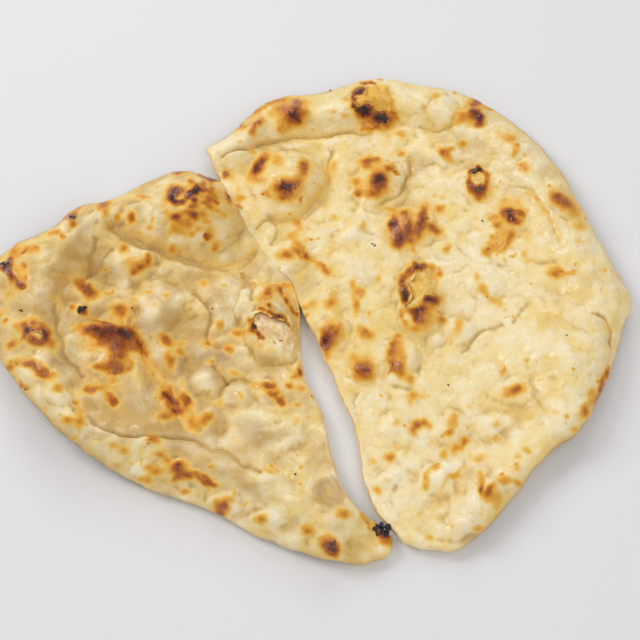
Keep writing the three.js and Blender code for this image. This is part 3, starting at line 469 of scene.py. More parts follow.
# Domes and folds of toasting and of painted light. Above 0 is darker: partly toasting, partly
# painted shade on slopes and along creases. Below 0 is floury and pale, partly a painted highlight
# on lit ridges.
TOASTED_AND_SHADED = {
    "left_half": [
        (-70, -15, 150, 150, 0.45), (-55, -22, 26, 20, 0.6), (-70, -42, 26, 15, 0.8, -10),
        (-20, -62, 16, 12, 0.4, -30), (-12, 18, 10, 14, 0.8), (-44, 20, 14, 12, 0.5),
        (-87, 19.6, 9, 9, -0.9), ([(-112, 52), (-114, 35), (-115, 15), (-114, 0)], 9, 0.9),
        (-80, -50, 24, 9, 1.0, -12), ([(-104, -36), (-99, -45), (-90, -50)], 6, 0.8),
        ([(-62, -65), (-45, -74), (-30, -82)], 7, 0.8), (-42, 60, 8, 14, 0.6),
        (-22, -21, 10, 6, 0.7, -20), (-60, -5, 14, 12, 0.6), (-90, 50, 10, 8, 0.6),
        (-136, 10, 16, 36, 0.9, 10), (-105, -6, 11, 14, -0.5), (-98, 14, 8, 8, -0.4),
        ([(-79.5, -13), (-75.4, -21.2), (-70.4, -28.8), (-65, -36.9)], 2.2, 0.6),
        ([(-76.6, -10), (-72, -19.1), (-67, -27.4), (-62.1, -34.2)], 3.2, -0.9),
        (-49.5, -32.9, 8, 8, -0.9), (-57, -22, 5, 8, 0.6), (-66, 0, 14, 8, 0.7),
        ([(-47, 30), (-38, 30.4), (-34, 33.6), (-30.3, 38.8), (-28.6, 42.6)], 3, 0.8),
        ([(-58, -50), (-30, -62)], 8, 0.5), (4, -88, 7, 8, 0.9),
        ([(-2, -60), (2, -75), (10, -90)], 5, 0.5), ([(-14, 8), (-10, -2), (-8, -12)], 4, 0.5),
        (-74, -54, 10, 5, 0.5), (-22, -21, 8, 5, 0.4, -20), (-99, 24, 9, 9, 0.6),
        (-98, 2, 9, 8, 0.8), (-90, 10, 8, 7, 0.5), (-62, 22, 10, 9, 0.6),
        ([(-73, -26), (-64, -29), (-56, -40), (-55, -56)], 5, 0.9),
        ([(-88, -66.5), (-71, -74.5), (-62.5, -68.5), (-52, -68)], 4.5, -0.9), (-31, 27, 9, 8, 0.8),
        (-80, -57, 7, 6, 0.8), (-29, -95, 8, 7, -0.7), (-87, 62, 8, 6, 0.8), (-110, 6, 8, 8, 0.9),
        (-31, 16, 8, 7, -0.9), (-84, 5.5, 7, 6, 0.9), (-43, -16, 11, 7, 0.9),
        (-13, -66, 8, 7, -0.8), (4, -95, 8, 7, 0.6), (-134, 20, 10, 14, 0.5), (-8, -42, 6, 10, 0.7),
        (-26, -21, 8, 8, 0.6), (-26, 22, 8, 8, 0.6), (-113, -21, 8, 9, 0.5),
        (-78, -80, 12, 8, -0.9), (-24, -99, 14, 8, -0.6), (-9, -99, 9, 8, -0.7),
        (-23, -50, 14, 8, -0.4, -30), (-97, -18, 6, 12, -0.4), (-68, 28, 20, 8, -0.3),
    ],
    "right_half": [
        # These three folds are painted shade: below the big blister and along the creases beside
        # it.
        ([(3, 88), (2.8, 77.5), (0, 70.3), (-4.9, 64), (-12, 58)], 4.5, 0.7),
        ([(-24.4, 56.3), (-18.8, 50.8), (-21.8, 43.2)], 2.5, 0.6),
        ([(-40, 98), (-24, 103), (-4, 104.5), (8, 108), (24, 109)], 2.5, 0.4),
        (44, 86, 10, 14, 0.5), ([(42, 92), (42, 80), (36, 68)], 2.5, 0.5), (73, 94, 10, 12, 0.3),
        ([(88, 74), (98, 70), (104, 58), (108, 44)], 4, 0.6), (118, 22, 14, 30, 0.2),
        (107, 84, 9, 9, 0.4), (93, -50, 9, 14, 0.1, 20), (38, 52, 12, 12, 0.2),
        ([(126, 0), (127, -14), (123, -28)], 3, 0.5), (70, 40, 45, 60, -0.3), (82, 0, 26, 50, -0.6),
        (50, -60, 45, 50, -0.5), (28, -78, 14, 20, -0.4), (14, 40, 20, 30, -0.3),
        (-30, 95, 12, 10, -0.6), (10, 67, 12, 12, -0.5), (46, 67, 10, 10, -0.4),
        (61, 0, 12, 12, -0.4), (27, -20, 6, 10, -0.6), (83, 52, 9, 14, -0.3),
        (57, -75, 9, 12, -0.4), (47, 91, 10, 9, 0.5), (-9, 68, 8, 8, 0.5), (-9, 22, 9, 11, 0.6),
        (42, -100, 9, 8, 0.4), (98, 0, 10, 10, 0.5), (118, 22, 9, 10, 0.3), (48, -16, 8, 8, 0.7),
        (80, -57, 9, 8, -0.9), (61, -95, 8, 7, 0.6), (-5, 98, 8, 6, 0.7),
    ],
}

# Domes and folds of painted shade: a greyer dough colour laid where valleys, slopes and creases lie
# in shade.
PAINTED_SHADE_FORMS = {
    "left_half": [
        (-98, 23, 11, 11, 0.9), (-97, 1, 12, 10, 0.8), (-79, -1, 10, 9, 0.5), (-62, 22, 11, 9, 0.6),
        (-58, -21, 11, 12, 1), (-43, -21, 10, 10, 0.8), (-60, -42, 10, 9, 0.9),
        (-77, -42, 10, 9, 0.6), (-114, 0, 9, 11, 0.5), (-112, -21, 8, 8, 0.6), (-62, 0, 9, 8, 0.5),
        (-10, 24, 9, 10, 0.9), (-42, -42, 8, 8, 0.4), (-60, -61, 9, 6, 0.5),
        (-28, -57, 11, 8, 0.7, -40), ([(-58, -44), (-55.5, -51), (-52, -58)], 4, 1),
        (4, -86, 8, 8, 1.4),
    ],
    "right_half": [
        (-9, 22, 9, 11, 0.8), (20, 22, 8, 8, 0.2),
    ],
}

# Streaks: points along a scorched line, its width and heat. The faintest follow creases and are
# painted shade.
STREAKS = {
    "right_half": [
        ([(-41, 110), (-37, 116), (-30, 122), (-24, 127), (-17, 130)], 1.6, 0.55),
        ([(19.6, 134.2), (16.4, 132.8), (15.8, 129), (15.9, 125.5), (17.8, 122.4)], 1.5, 0.94),
        ([(20, 139.8), (24, 140.5), (26.5, 140)], 1.5, 0.72),
        ([(31.2, 138), (33.7, 131.3), (34.2, 124), (36.4, 118.5)], 3.2, 0.36),
        ([(25, 63.5), (29, 63), (34, 61.5)], 1.1, 0.44), ([(79, 125), (83, 122.5)], 1.4, 0.42),
        ([(70.6, 84), (69.4, 81), (69.2, 78), (70.6, 74.5)], 1.4, 0.62),
        ([(76.8, 84), (77.6, 81), (77.4, 78), (76, 74.5)], 1.3, 0.62),
        ([(70.4, 77.2), (72.2, 74.6), (74.6, 76.2)], 1.5, 0.94),
        ([(78.8, 45.2), (77.3, 41.5), (75.8, 37)], 3, 0.38),
        ([(85, 43.5), (83, 41), (81.5, 38.5)], 3.2, 0.45),
        ([(45, 29), (49.5, 29), (53.5, 25.5)], 3, 0.46), ([(43, 29), (42.6, 31.5)], 1.6, 0.5),
        ([(37, 16), (36.6, 20), (38.2, 24.2), (41, 27.6), (45.5, 29.2)], 3.2, 0.68),
        ([(35.8, 5), (36.3, 1), (38, -2)], 1.3, 0.5),
        ([(-8.7, 4.9), (-5.7, 7), (-2.8, 9.2)], 2.4, 0.4),
        ([(33.5, -9.5), (31.5, -15), (31.2, -21), (33, -27)], 3, 0.56),
        ([(38.7, -57.5), (40.5, -54), (43.5, -52.3), (46, -54.5)], 2.8, 0.48),
        ([(61, -61.5), (59.5, -64.5), (56, -66)], 2.8, 0.48),
        ([(31, -64.5), (34.5, -65), (36, -68.5)], 1.8, 0.26),
        ([(49, -74.5), (45.5, -76), (44, -80), (44, -85)], 1.9, 0.42),
        ([(58.5, -75.3), (56.5, -78), (53, -79.5), (51, -83), (49.8, -88)], 1.2, 0.34),
        ([(124.5, -26), (122.5, -31), (120.5, -36), (118.5, -40)], 2, 0.6),
        ([(-11.3, 43.5), (-9.5, 39), (-6.8, 35)], 1.8, 0.28),
        ([(-9.2, 42.5), (-7.5, 39), (-5.5, 36)], 1, 0.34),
        ([(-12, 40), (-10, 36.5), (-8, 34)], 1, 0.38),
        ([(-7.5, 34.8), (-5.9, 34.3), (-1.6, 31.3), (1.3, 28.3), (3.1, 26.1)], 1.6, 0.42),
        # Faint golden lines along creases and under the big blister: painted shade, partly golden
        # baking.
        ([(3, 86), (2.8, 77.5), (0, 70.3), (-4.9, 64), (-10.4, 59.5), (-16.5, 56)], 5, 0.2),
        ([(-16, 104.5), (0, 104.5), (8, 108), (22, 109)], 3, 0.16),
        ([(50, 110), (58, 112), (68, 113.5)], 2, 0.18),
        ([(94, 75), (101, 66), (105, 56), (109, 44)], 3, 0.2),
        ([(86, 1), (90, 5), (94, 10)], 1.2, 0.2), ([(17.5, -42), (17, -48), (16, -56)], 1, 0.2),
    ],
    "left_half": [
        ([(-113, 63), (-109, 64)], 1.5, 0.55), ([(-118, 57), (-115, 58.3), (-113, 58)], 2, 0.72),
        ([(-123, 48.5), (-119, 48.8), (-117, 46)], 2, 0.62),
        ([(-141, 30), (-138.8, 25.6), (-136, 22), (-133, 18)], 2.2, 0.8),
        ([(-133.6, 31.4), (-131.5, 27), (-131.6, 21.5)], 1.6, 0.56),
        ([(-132, -3), (-128, -1), (-123, -2.4), (-120.5, -5.6)], 3.4, 0.56),
        ([(-128.2, -4), (-128.4, -7.6), (-125, -11.5), (-121.2, -10.8), (-120, -7)], 2.8, 0.78),
        ([(-120, 13), (-117, 10.5), (-115, 7)], 2, 0.3),
        ([(-69.2, 69.5), (-68.6, 67.4), (-66.1, 66.2), (-63.8, 66.4), (-61.8, 67.8), (-60.1, 71),
          (-57.7, 73.5), (-55, 73.8)], 1.6, 0.97),
        ([(-59.6, 72.7), (-58.1, 67.2)], 1.1, 0.95), ([(-57.7, 73.5), (-57.1, 77)], 1.1, 0.9),
        ([(-56, 78), (-53.5, 76.5), (-53, 73)], 1.2, 0.42),
        ([(-69, 48), (-66, 49.5), (-63, 49), (-61, 47)], 2, 0.32),
        ([(-69, 83), (-65, 84), (-62, 84.5)], 1.6, 0.6),
        ([(-57, 82.5), (-54, 81.3), (-51.5, 80.2), (-48, 80)], 1.4, 0.7),
        # Faint lines along the great bubble's crease: painted shade.
        ([(-52, 32), (-47.2, 30.2), (-41.8, 30), (-38.2, 30.4), (-34.1, 33.6), (-30.3, 38.8),
          (-28.6, 42.6)], 2.2, 0.2),
        ([(-93, 52), (-87, 46), (-80, 41), (-67, 37.5), (-55, 33), (-47.2, 30.4)], 0.9, 0.14),
        ([(-47.2, 30.4), (-38.2, 30.6), (-34.1, 33.6), (-30.3, 38.8)], 0.9, 0.14),
        ([(-78.3, 35), (-77.4, 31.8), (-79.3, 29.2), (-82, 27.2), (-84.2, 25.5)], 2.2, 0.58),
        ([(-99.7, 0), (-94.9, -1.4), (-91.3, -2.7)], 1.2, 0.55),
        ([(-86, -5.2), (-82.1, -9.6), (-77.8, -14.9), (-75.3, -18.4)], 2.4, 0.42),
        ([(-79.3, -13.5), (-75.4, -21.2), (-70.4, -28.8), (-64.8, -36.9)], 3, 0.27),
        ([(-88, -15), (-85, -19), (-82, -22.5)], 2.2, 0.5),
        ([(-66, -38.5), (-64, -42), (-61, -46.5)], 4.2, 0.78),
        ([(-100, -36), (-97, -34.5), (-93, -36), (-90, -39), (-87.5, -43)], 2.8, 0.5),
        ([(-30.2, 21.2), (-23, 19.2), (-18.3, 18.6)], 1.3, 0.3),
        ([(-26.3, 5.9), (-23.5, 4.6), (-21, 3.4), (-18.5, 2), (-15.7, 1.3)], 2.1, 0.68),
        ([(-30.8, 0), (-29.4, -3.2), (-26.7, -6.6), (-25, -9)], 2, 0.78),
        ([(-15, -0.5), (-13.5, -3), (-12.5, -6)], 1.4, 0.5),
        ([(-18.3, 17.2), (-16, 12.6), (-13.4, 7.7), (-10.8, 3)], 1.6, 0.66),
        ([(-10.8, 3), (-8.6, -0.9), (-7.4, -6.6)], 1.6, 0.46),
        ([(-16, 19), (-12, 19.5), (-10, 16)], 1.2, 0.36),
        ([(-19.5, -38.8), (-17.5, -40.5), (-16, -44)], 2.8, 0.64),
        ([(-134, -26), (-132, -22.5), (-127, -22.5), (-122.5, -24), (-119, -27),
          (-116, -29.5)], 3.2, 0.36),
        ([(-105.5, -38), (-104, -43), (-102.5, -47)], 2.4, 0.3),
        ([(-69.5, -68.5), (-66.5, -69), (-64, -71.5)], 2.6, 0.4),
        ([(-60, -79.5), (-55, -78.5), (-51, -78.8), (-47, -81.5), (-44.5, -83.5)], 3.4, 0.62),
        ([(-23, -76), (-20.5, -77.5)], 1.6, 0.36), ([(-20.5, -74), (-18, -76)], 1.6, 0.36),
        ([(-36.5, -90), (-35, -86)], 2, 0.28),
        ([(-56.5, -43), (-55.5, -50), (-53, -57)], 3.4, 0.26),
    ],
}


def settings():
    """The scene's sizes and colours of the bread."""
    return bpy.context.scene.naan


# ------------------------------------------------------------------ the dough surface
def glow(rho, heat):
    """A browned core with a soft golden halo, for a distance of 1 at the spot's edge."""
    core = 0.82 * np.exp(-0.8 * rho ** (1.5 + 1.2 * heat))
    halo = 0.18 * np.exp(-0.3 * rho ** 2)
    return heat * (core + halo)


def heat_at(name, x, y):
    """Browning from 0 to 1 over plan positions, with ragged edges."""
    wx = layered(x, x, y, (0.6, 7, 11), (0.85, 2.6, 12))
    wy = layered(y, x, y, (0.6, 7, 13), (0.85, 2.6, 14))
    patchy = layered(1, x, y, (0.17, 3.6, 15), (0.16, 1.6, 16))
    broken = np.clip(layered(0.86, x, y, (0.6, 2.8, 17)), 0.35, 1)
    cool = np.ones(x.shape)
    for sx, sy, long, wide, heat, *turn in SPOTS[name]:
        rho = oval(wx, wy, (sx, sy), (long / 2, wide / 2), *turn)
        near = rho < SPOT_REACH
        cool[near] *= 1 - glow(rho[near], heat)
    for points, width, heat in STREAKS[name]:
        line = smooth_line(points, 6 * len(points))
        cool *= 1 - broken * near_line(line, STREAK_REACH * width, wx, wy,
                                       lambda far: glow(far / (width * 0.66), heat))
    heat = 1 - cool
    return np.clip(heat * (patchy + (1 - patchy) * smoothstep(heat, 0.75, 1)), 0, 1)


def pillows(x, y, size, seed):
    """Rounded lumps with creases between them, from 0 in a crease to about 1."""
    wx = layered(x, x, y, (0.35 * size, 1.7 * size, seed + 50))
    wy = layered(y, x, y, (0.35 * size, 1.7 * size, seed + 51))
    return np.abs(gradient_noise(wx, wy, size, seed))


def inside_polygon(corners, x, y):
    """Signed depth inside a polygon: positive within, negative outside."""
    line = np.asarray(corners + corners[:1], float)
    odd = np.zeros(x.shape, bool)
    for a, b in zip(line[:-1], line[1:]):
        crosses = (a[1] > y) != (b[1] > y)
        where = (b[0] - a[0]) * (y - a[1]) / (b[1] - a[1] + 1e-12) + a[0]
        odd ^= crosses & (x < where)
    return np.where(odd, 1, -1) * distance_to_line(line, x, y)


def tears_at(name, x, y):
    """Where the skin is torn away, how deep the hollow is, and how brown its crumb is."""
    open_share = np.zeros(x.shape)
    depth = np.zeros(x.shape)
    tone = np.zeros(x.shape)
    wx = layered(x, x, y, (0.35, 2, 21))
    wy = layered(y, x, y, (0.35, 2, 22))
    for corners, deep, brown, _ in TEARS[name]:
        low, high = np.min(corners, 0) - 2, np.max(corners, 0) + 2
        near = (x > low[0]) & (x < high[0]) & (y > low[1]) & (y < high[1])
        inside = inside_polygon(corners, wx[near], wy[near])
        gap = smoothstep(inside, -0.3, 0.5)
        open_share[near] = np.maximum(open_share[near], gap)
        depth[near] = np.maximum(depth[near], deep * smoothstep(inside, -0.4, 1.5))
        tone[near] = np.maximum(tone[near], brown * gap)
    return open_share, depth, tone


def blurred(grid, reach=5, passes=3):
    """A grid smoothed by running means over reach cells either way."""
    for axis in (0, 1) * passes:
        pad = [(reach + 1, reach) if side == axis else (0, 0) for side in (0, 1)]
        total = np.cumsum(np.pad(grid, pad, mode="edge"), axis=axis)
        width = 2 * reach + 1
        upper = np.take(total, range(width, total.shape[axis]), axis=axis)
        lower = np.take(total, range(0, total.shape[axis] - width), axis=axis)
        grid = (upper - lower) / width
    return grid


def lifted(rise):
    """The sheet lies flat until its folds outgrow the slack."""
    free = rise - SLACK
    return np.where(free <= -SLACK, 0, np.where(
        free >= SLACK, free, (free + SLACK) ** 2 / (4 * SLACK)))


def rounding(distance, width):
    """How full a rounded edge is: 0 at the edge itself and 1 from width inwards."""
    out = 1 - np.clip(distance / width, 0, 1)
    return np.sqrt(1 - out * out)


def seen_from_eye(points):
    """Plan position where the line of sight through each point meets the table."""
    reach = EYE[2] / (EYE[2] - points[:, 2])
    return EYE[:2] + (points[:, :2] - EYE[:2]) * reach[:, None]


def plan_grid(name):
    """Plan positions of the grid, blended from the four sides of the outline."""
    across, along = CELLS[name]
    outline = OUTLINES[name]
    u = np.linspace(0, 1, across + 1)
    v = np.linspace(0, 1, along + 1)
    near, far = (smooth_line(outline[side], across) for side in ("near", "far"))
    left, right = (smooth_line(outline[side], along) for side in ("left", "right"))
    uu, vv = u[None, :, None], v[:, None, None]
    grid = (1 - vv) * near[None] + vv * far[None]
    grid = grid + (1 - uu) * left[:, None] + uu * right[:, None]
    grid -= (1 - uu) * ((1 - vv) * left[0] + vv * left[-1])
    grid -= uu * ((1 - vv) * right[0] + vv * right[-1])
    return grid.reshape(-1, 2)


def dough_at(name, plan, torn=True):
    """Points of the upper face and the underside over plan positions, in mm, and the
    lift, distance to the rim and share of open cut that the surface is dressed by."""
    look = settings()
    x, y = plan.T

    sides = {side: smooth_line(line, SIDE_STEPS) for side, line in OUTLINES[name].items()}
    to_cut = distance_to_line(sides.pop(CUT_SIDE[name]), x, y)
    to_rim = np.min([distance_to_line(line, x, y) for line in sides.values()], axis=0)
    to_edge = np.minimum(to_cut, to_rim)
    # Where the halves still touch, the edge is crisp and no crumb shows.
    beside = smooth_line(OUTLINES[OTHER[name]][CUT_SIDE[OTHER[name]]], SIDE_STEPS)
    apart = smoothstep(distance_to_line(beside, x, y) - to_cut, 0.6, 2.6)
    fullness = rounding(to_cut, look.cut_rounding / MM * (0.3 + 0.7 * apart))
    fullness *= rounding(to_rim, look.rim_rounding / MM)
    fullness[to_edge < 1e-3] = 0
    half = look.thickness / MM / 2
    ground = lifted(summed(SWELLS[name], x, y))
    crown = ground + half * (1 + fullness)
    base = plan + (EYE[:2] - plan) * (crown / EYE[2])[:, None]
    base[:, 0] = layered(base[:, 0], x, y, (0.6, 9, 90), (0.3, 4, 92))
    base[:, 1] = layered(base[:, 1], x, y, (0.6, 9, 91), (0.3, 4, 93))

    wx = layered(x, x, y, (2.0, 13, 7), (0.8, 5, 8))
    wy = layered(y, x, y, (2.0, 13, 9), (0.8, 5, 10))
    relief = RELIEF[name] * summed(BLISTERS[name], wx, wy, blister, crease)
    heat = heat_at(name, x, y)
    relief += look.spot_rise / MM * smoothstep(heat, 0.1, 0.7)
    wobble = RELIEF[name] * (pillows(x, y, 16, 1) + 0.5 * pillows(x, y, 8, 2))
    wobble += 0.24 * pillows(x, y, 3.6, 3) - 0.5 + 0.6 * gradient_noise(x, y, 22, 6)
    wobble += smoothstep(heat, 0.62, 0.95) * 0.35 * gradient_noise(x, y, 1.7, 4)
    relief += look.unevenness / MM * wobble
    relief = np.maximum(relief, -0.9 * half)
    if torn:
        gap, depth, _ = tears_at(name, x, y)
        relief += 0.2 * np.exp(-((gap - 0.25) / 0.2) ** 2) - depth
        relief += gap * 0.6 * gradient_noise(x, y, 2.6, 5)
    relief *= smoothstep(to_edge, 0, 5)
    top = np.column_stack([base, crown + relief])
    under = np.column_stack([base, ground + half * (1 - fullness)])
    cut_face = apart * (1 - smoothstep(to_cut, 0.2, 1.5))
    return top, under, {"lift": ground + relief, "to_rim": to_rim, "cut_face": cut_face}


def on_crust(name, seen, torn=False):
    """Points of the upper face that are seen at the given plan positions."""
    plan = np.array(seen, float)
    for _ in range(SIGHT_FIXES):
        top = dough_at(name, plan, torn)[0]
        plan = plan - (seen_from_eye(top) - seen)
    return dough_at(name, plan, torn)[0]


def surface_of(name):
    """Points of the upper face and the underside, with what the material needs."""
    top, under, more = dough_at(name, plan_grid(name))
    lift = more["lift"].reshape(CELLS[name][1] + 1, -1)
    # Hollows and crests of the relief, for painted shade down in the hollows and a painted
    # highlight on the crests.
    hollow = (blurred(lift) - lift).ravel()
    # Narrow creases, for painted shade at their bottoms.
    groove_shade = (blurred(lift, 2, 2) - lift).ravel()
    # Browning follows what is seen, so it is read at the finished height.
    seen_x, seen_y = seen_from_eye(top).T
    heat = blurred(heat_at(name, seen_x, seen_y).reshape(lift.shape), 1, 1).ravel()
    torn, _, tone = tears_at(name, seen_x, seen_y)
    bare = np.maximum(torn, 0.8 * more["cut_face"] * smoothstep(more["to_rim"], 2, 6))
    # Toasting, plus painted shade on slopes and creases and painted light on ridges.
    toasted_and_shaded = summed(TOASTED_AND_SHADED[name], seen_x, seen_y)
    toasted_and_shaded += BAKED[name] * layered(0, seen_x, seen_y, (0.7, 13, 31), (0.6, 6.5, 32))
    attributes = {
        "browning": heat * (1 - 0.95 * bare) + tone,
        "bare": bare,
        "toasted_and_shaded": toasted_and_shaded,
        # Painted shade: where the greyer colour is laid over valleys and creases.
        "painted_shade": np.clip(summed(PAINTED_SHADE_FORMS[name], seen_x, seen_y), 0, 1),
        "hollow": smoothstep(hollow, 0.05, 0.9),
        "groove_shade": smoothstep(groove_shade, 0.08, 0.42),
        "crest": smoothstep(-hollow, 0.05, 0.8),
    }
    return top, under, attributes


def new_mesh(label, points, faces, attributes):
    """A smooth mesh in metres about the bread's middle."""
    points = np.array(points, float)
    points[:, :2] -= MIDDLE
    mesh = bpy.data.meshes.new(label)
    mesh.from_pydata((points * MM).tolist(), [], faces)
    for key, values in attributes.items():
        layer = mesh.attributes.new(key, "FLOAT", "POINT")
        layer.data.foreach_set("value", np.asarray(values, np.float32))
    mesh.polygons.foreach_set("use_smooth", np.ones(len(mesh.polygons), bool))
    return mesh


def bread_mesh(name):
    """One closed mesh: a fine upper face stitched to a coarser underside."""
    across, along = CELLS[name]
    top, under, attributes = surface_of(name)
    rows, columns = along + 1, across + 1
    index = np.arange(rows * columns).reshape(rows, columns)
    quads = np.stack([index[:-1, :-1], index[:-1, 1:], index[1:, 1:], index[1:, :-1]], -1)
    faces = [tuple(face) for face in quads.reshape(-1, 4).tolist()]

    step = UNDER_STRIDE
    below = index.copy()
    inner_rows = np.arange(step, along, step)
    inner_columns = np.arange(step, across, step)
    kept = index[np.ix_(inner_rows, inner_columns)]
    below[np.ix_(inner_rows, inner_columns)] = rows * columns + np.arange(
        kept.size).reshape(kept.shape)
    for j in range(0, along, step):
        for i in range(0, across, step):
            ring = [below[j, i]]
            if i == 0:
                ring += [below[j + k, i] for k in range(1, step)]
            ring.append(below[j + step, i])
            if j + step == along:
                ring += [below[j + step, i + k] for k in range(1, step)]
            ring.append(below[j + step, i + step])
            if i + step == across:
                ring += [below[j + step - k, i + step] for k in range(1, step)]
            ring.append(below[j, i + step])
            if j == 0:
                ring += [below[j, i + step - k] for k in range(1, step)]
            faces.append(tuple(int(k) for k in ring))

    points = np.vstack([top, under[kept.ravel()]])
    attributes = {label: np.pad(values, (0, kept.size)) for label, values in attributes.items()}
    attributes["under"] = np.pad(np.zeros(len(top)), (0, kept.size), constant_values=1)
    mesh = new_mesh("naan_" + name, points, faces, attributes)
    mesh.validate()
    mesh.update()
    return mesh


def opening_ring(corners):
    """Closed line round a torn opening, with the direction inwards at each point."""
    line = smooth_line(corners + corners[:1], 20 * len(corners))
    run = np.concatenate([[0], np.cumsum(np.linalg.norm(np.diff(line, axis=0), axis=1))])
    even = np.linspace(0, run[-1], int(run[-1] / SKIN_SPACING), endpoint=False)
    ring = np.column_stack([np.interp(even, run, line[:, k]) for k in (0, 1)])
    step = np.roll(ring, -2, 0) - np.roll(ring, 2, 0)
    inward = np.column_stack([-step[:, 1], step[:, 0]])
    inward /= np.linalg.norm(inward, axis=1)[:, None]
    probe = inside_polygon(corners, *(ring + 0.5 * inward).T)
    return ring, inward * (1 if np.median(probe) > 0 else -1)


# Rows of a torn skin, round its section: how far in and how high.
SKIN_ROWS = [(-1.6, -0.5), (-0.8, 0.06), (0.0, 0.22), (0.5, 0.6), (0.85, 1.0), (1.0, 1.0),
             (0.85, 0.6), (0.4, -0.3), (-0.8, -0.9)]


def skin_mesh(name):
    """Thin torn skins that stand up round the openings and curl over them."""
    points, faces, browning = [], [], []
    for number, (corners, _, _, facing) in enumerate(TEARS[name]):
        if facing is None:
            continue
        ring, inward = opening_ring(corners)
        x, y = ring.T
        noise = layered(0, x, y, (1, 4.5, 60 + number), (0.7, 1.6, 70))
        reach = 0.25 + 1.0 * np.clip(0.4 + noise, 0, None)
        curl = 0.35 + 0.8 * np.clip(gradient_noise(x, y, 5, 80), 0, None)
        outward = -inward @ (math.cos(math.radians(facing)), math.sin(math.radians(facing)))
        stands = smoothstep(outward, -0.35, 0.35)
        reach *= 0.1 + 0.9 * stands
        start, count = len(points), len(ring)
        for share, up in SKIN_ROWS:
            along = np.where(share > 0, share * reach, share)
            spot = on_crust(name, ring + inward * along[:, None])
            rise = np.where(up > 0.3, up * curl, up)
            rise -= 0.3 if share == up == 1.0 else 0
            spot[:, 2] += rise * stands - 1.2 * (1 - stands)
            points += spot.tolist()
            seen_x, seen_y = seen_from_eye(spot).T
            edge = 0.75 * smoothstep(share, 0.3, 1.0) * np.clip(0.7 + noise, 0.25, 1)
            browning += np.maximum(heat_at(name, seen_x, seen_y), edge).tolist()
        for j in range(len(SKIN_ROWS)):
            for i in range(count):
                a, b = start + j * count, start + (j + 1) % len(SKIN_ROWS) * count
                k = (i + 1) % count
                faces.append((a + i, a + k, b + k, b + i))
    mesh = new_mesh("skins_" + name, points, faces, {"browning": browning})
    work = bmesh.new()
    work.from_mesh(mesh)
    bmesh.ops.recalc_face_normals(work, faces=work.faces)
    work.to_mesh(mesh)
    work.free()
    return mesh


# Heaps of loose char: middle, reach and number of flakes. Specks: middle of each pair.
CHAR_HEAPS = {
    "left_half": [((25, -103.5), 3.6, 26), ((-104.8, 5.2), 1.9, 22), ((-57.8, 73.3), 1.4, 4),
                  ((-68.2, 68.3), 1.2, 2), ((-142, 30.5), 2, 4), ((-113.3, 57.5), 1, 2)],
    "right_half": [((21.5, 122.5), 2.4, 6), ((29.5, 117.5), 3, 7), ((74, 86), 1.5, 5),
                   ((71.3, 85), 1.2, 3)],
}
SPECKS = {
    "left_half": [(-132.5, 5.5), (-131.8, 5.2), (-47.5, 6), (-126, -36.5), (-10.5, -78),
                  (-83, 6.5), (-17.2, -11)],
    "right_half": [(108, -8), (55, -34), (74.3, 55.5), (24, 42), (24.6, 41.4), (5, 135)],
}


def scattered(name, heaps, seed):
    """Points of the crust inside each heap, seeded."""
    rng = np.random.default_rng(seed)
    places = []
    for (x, y), reach, count in heaps:
        angle = rng.uniform(0, 2 * np.pi, count)
        far = reach * np.sqrt(rng.uniform(0, 1, count))
        places += np.column_stack([x + far * np.cos(angle), y + far * np.sin(angle)]).tolist()
    spots = on_crust(name, np.array(places), torn=True)
    spots[:, :2] -= MIDDLE
    return spots * MM


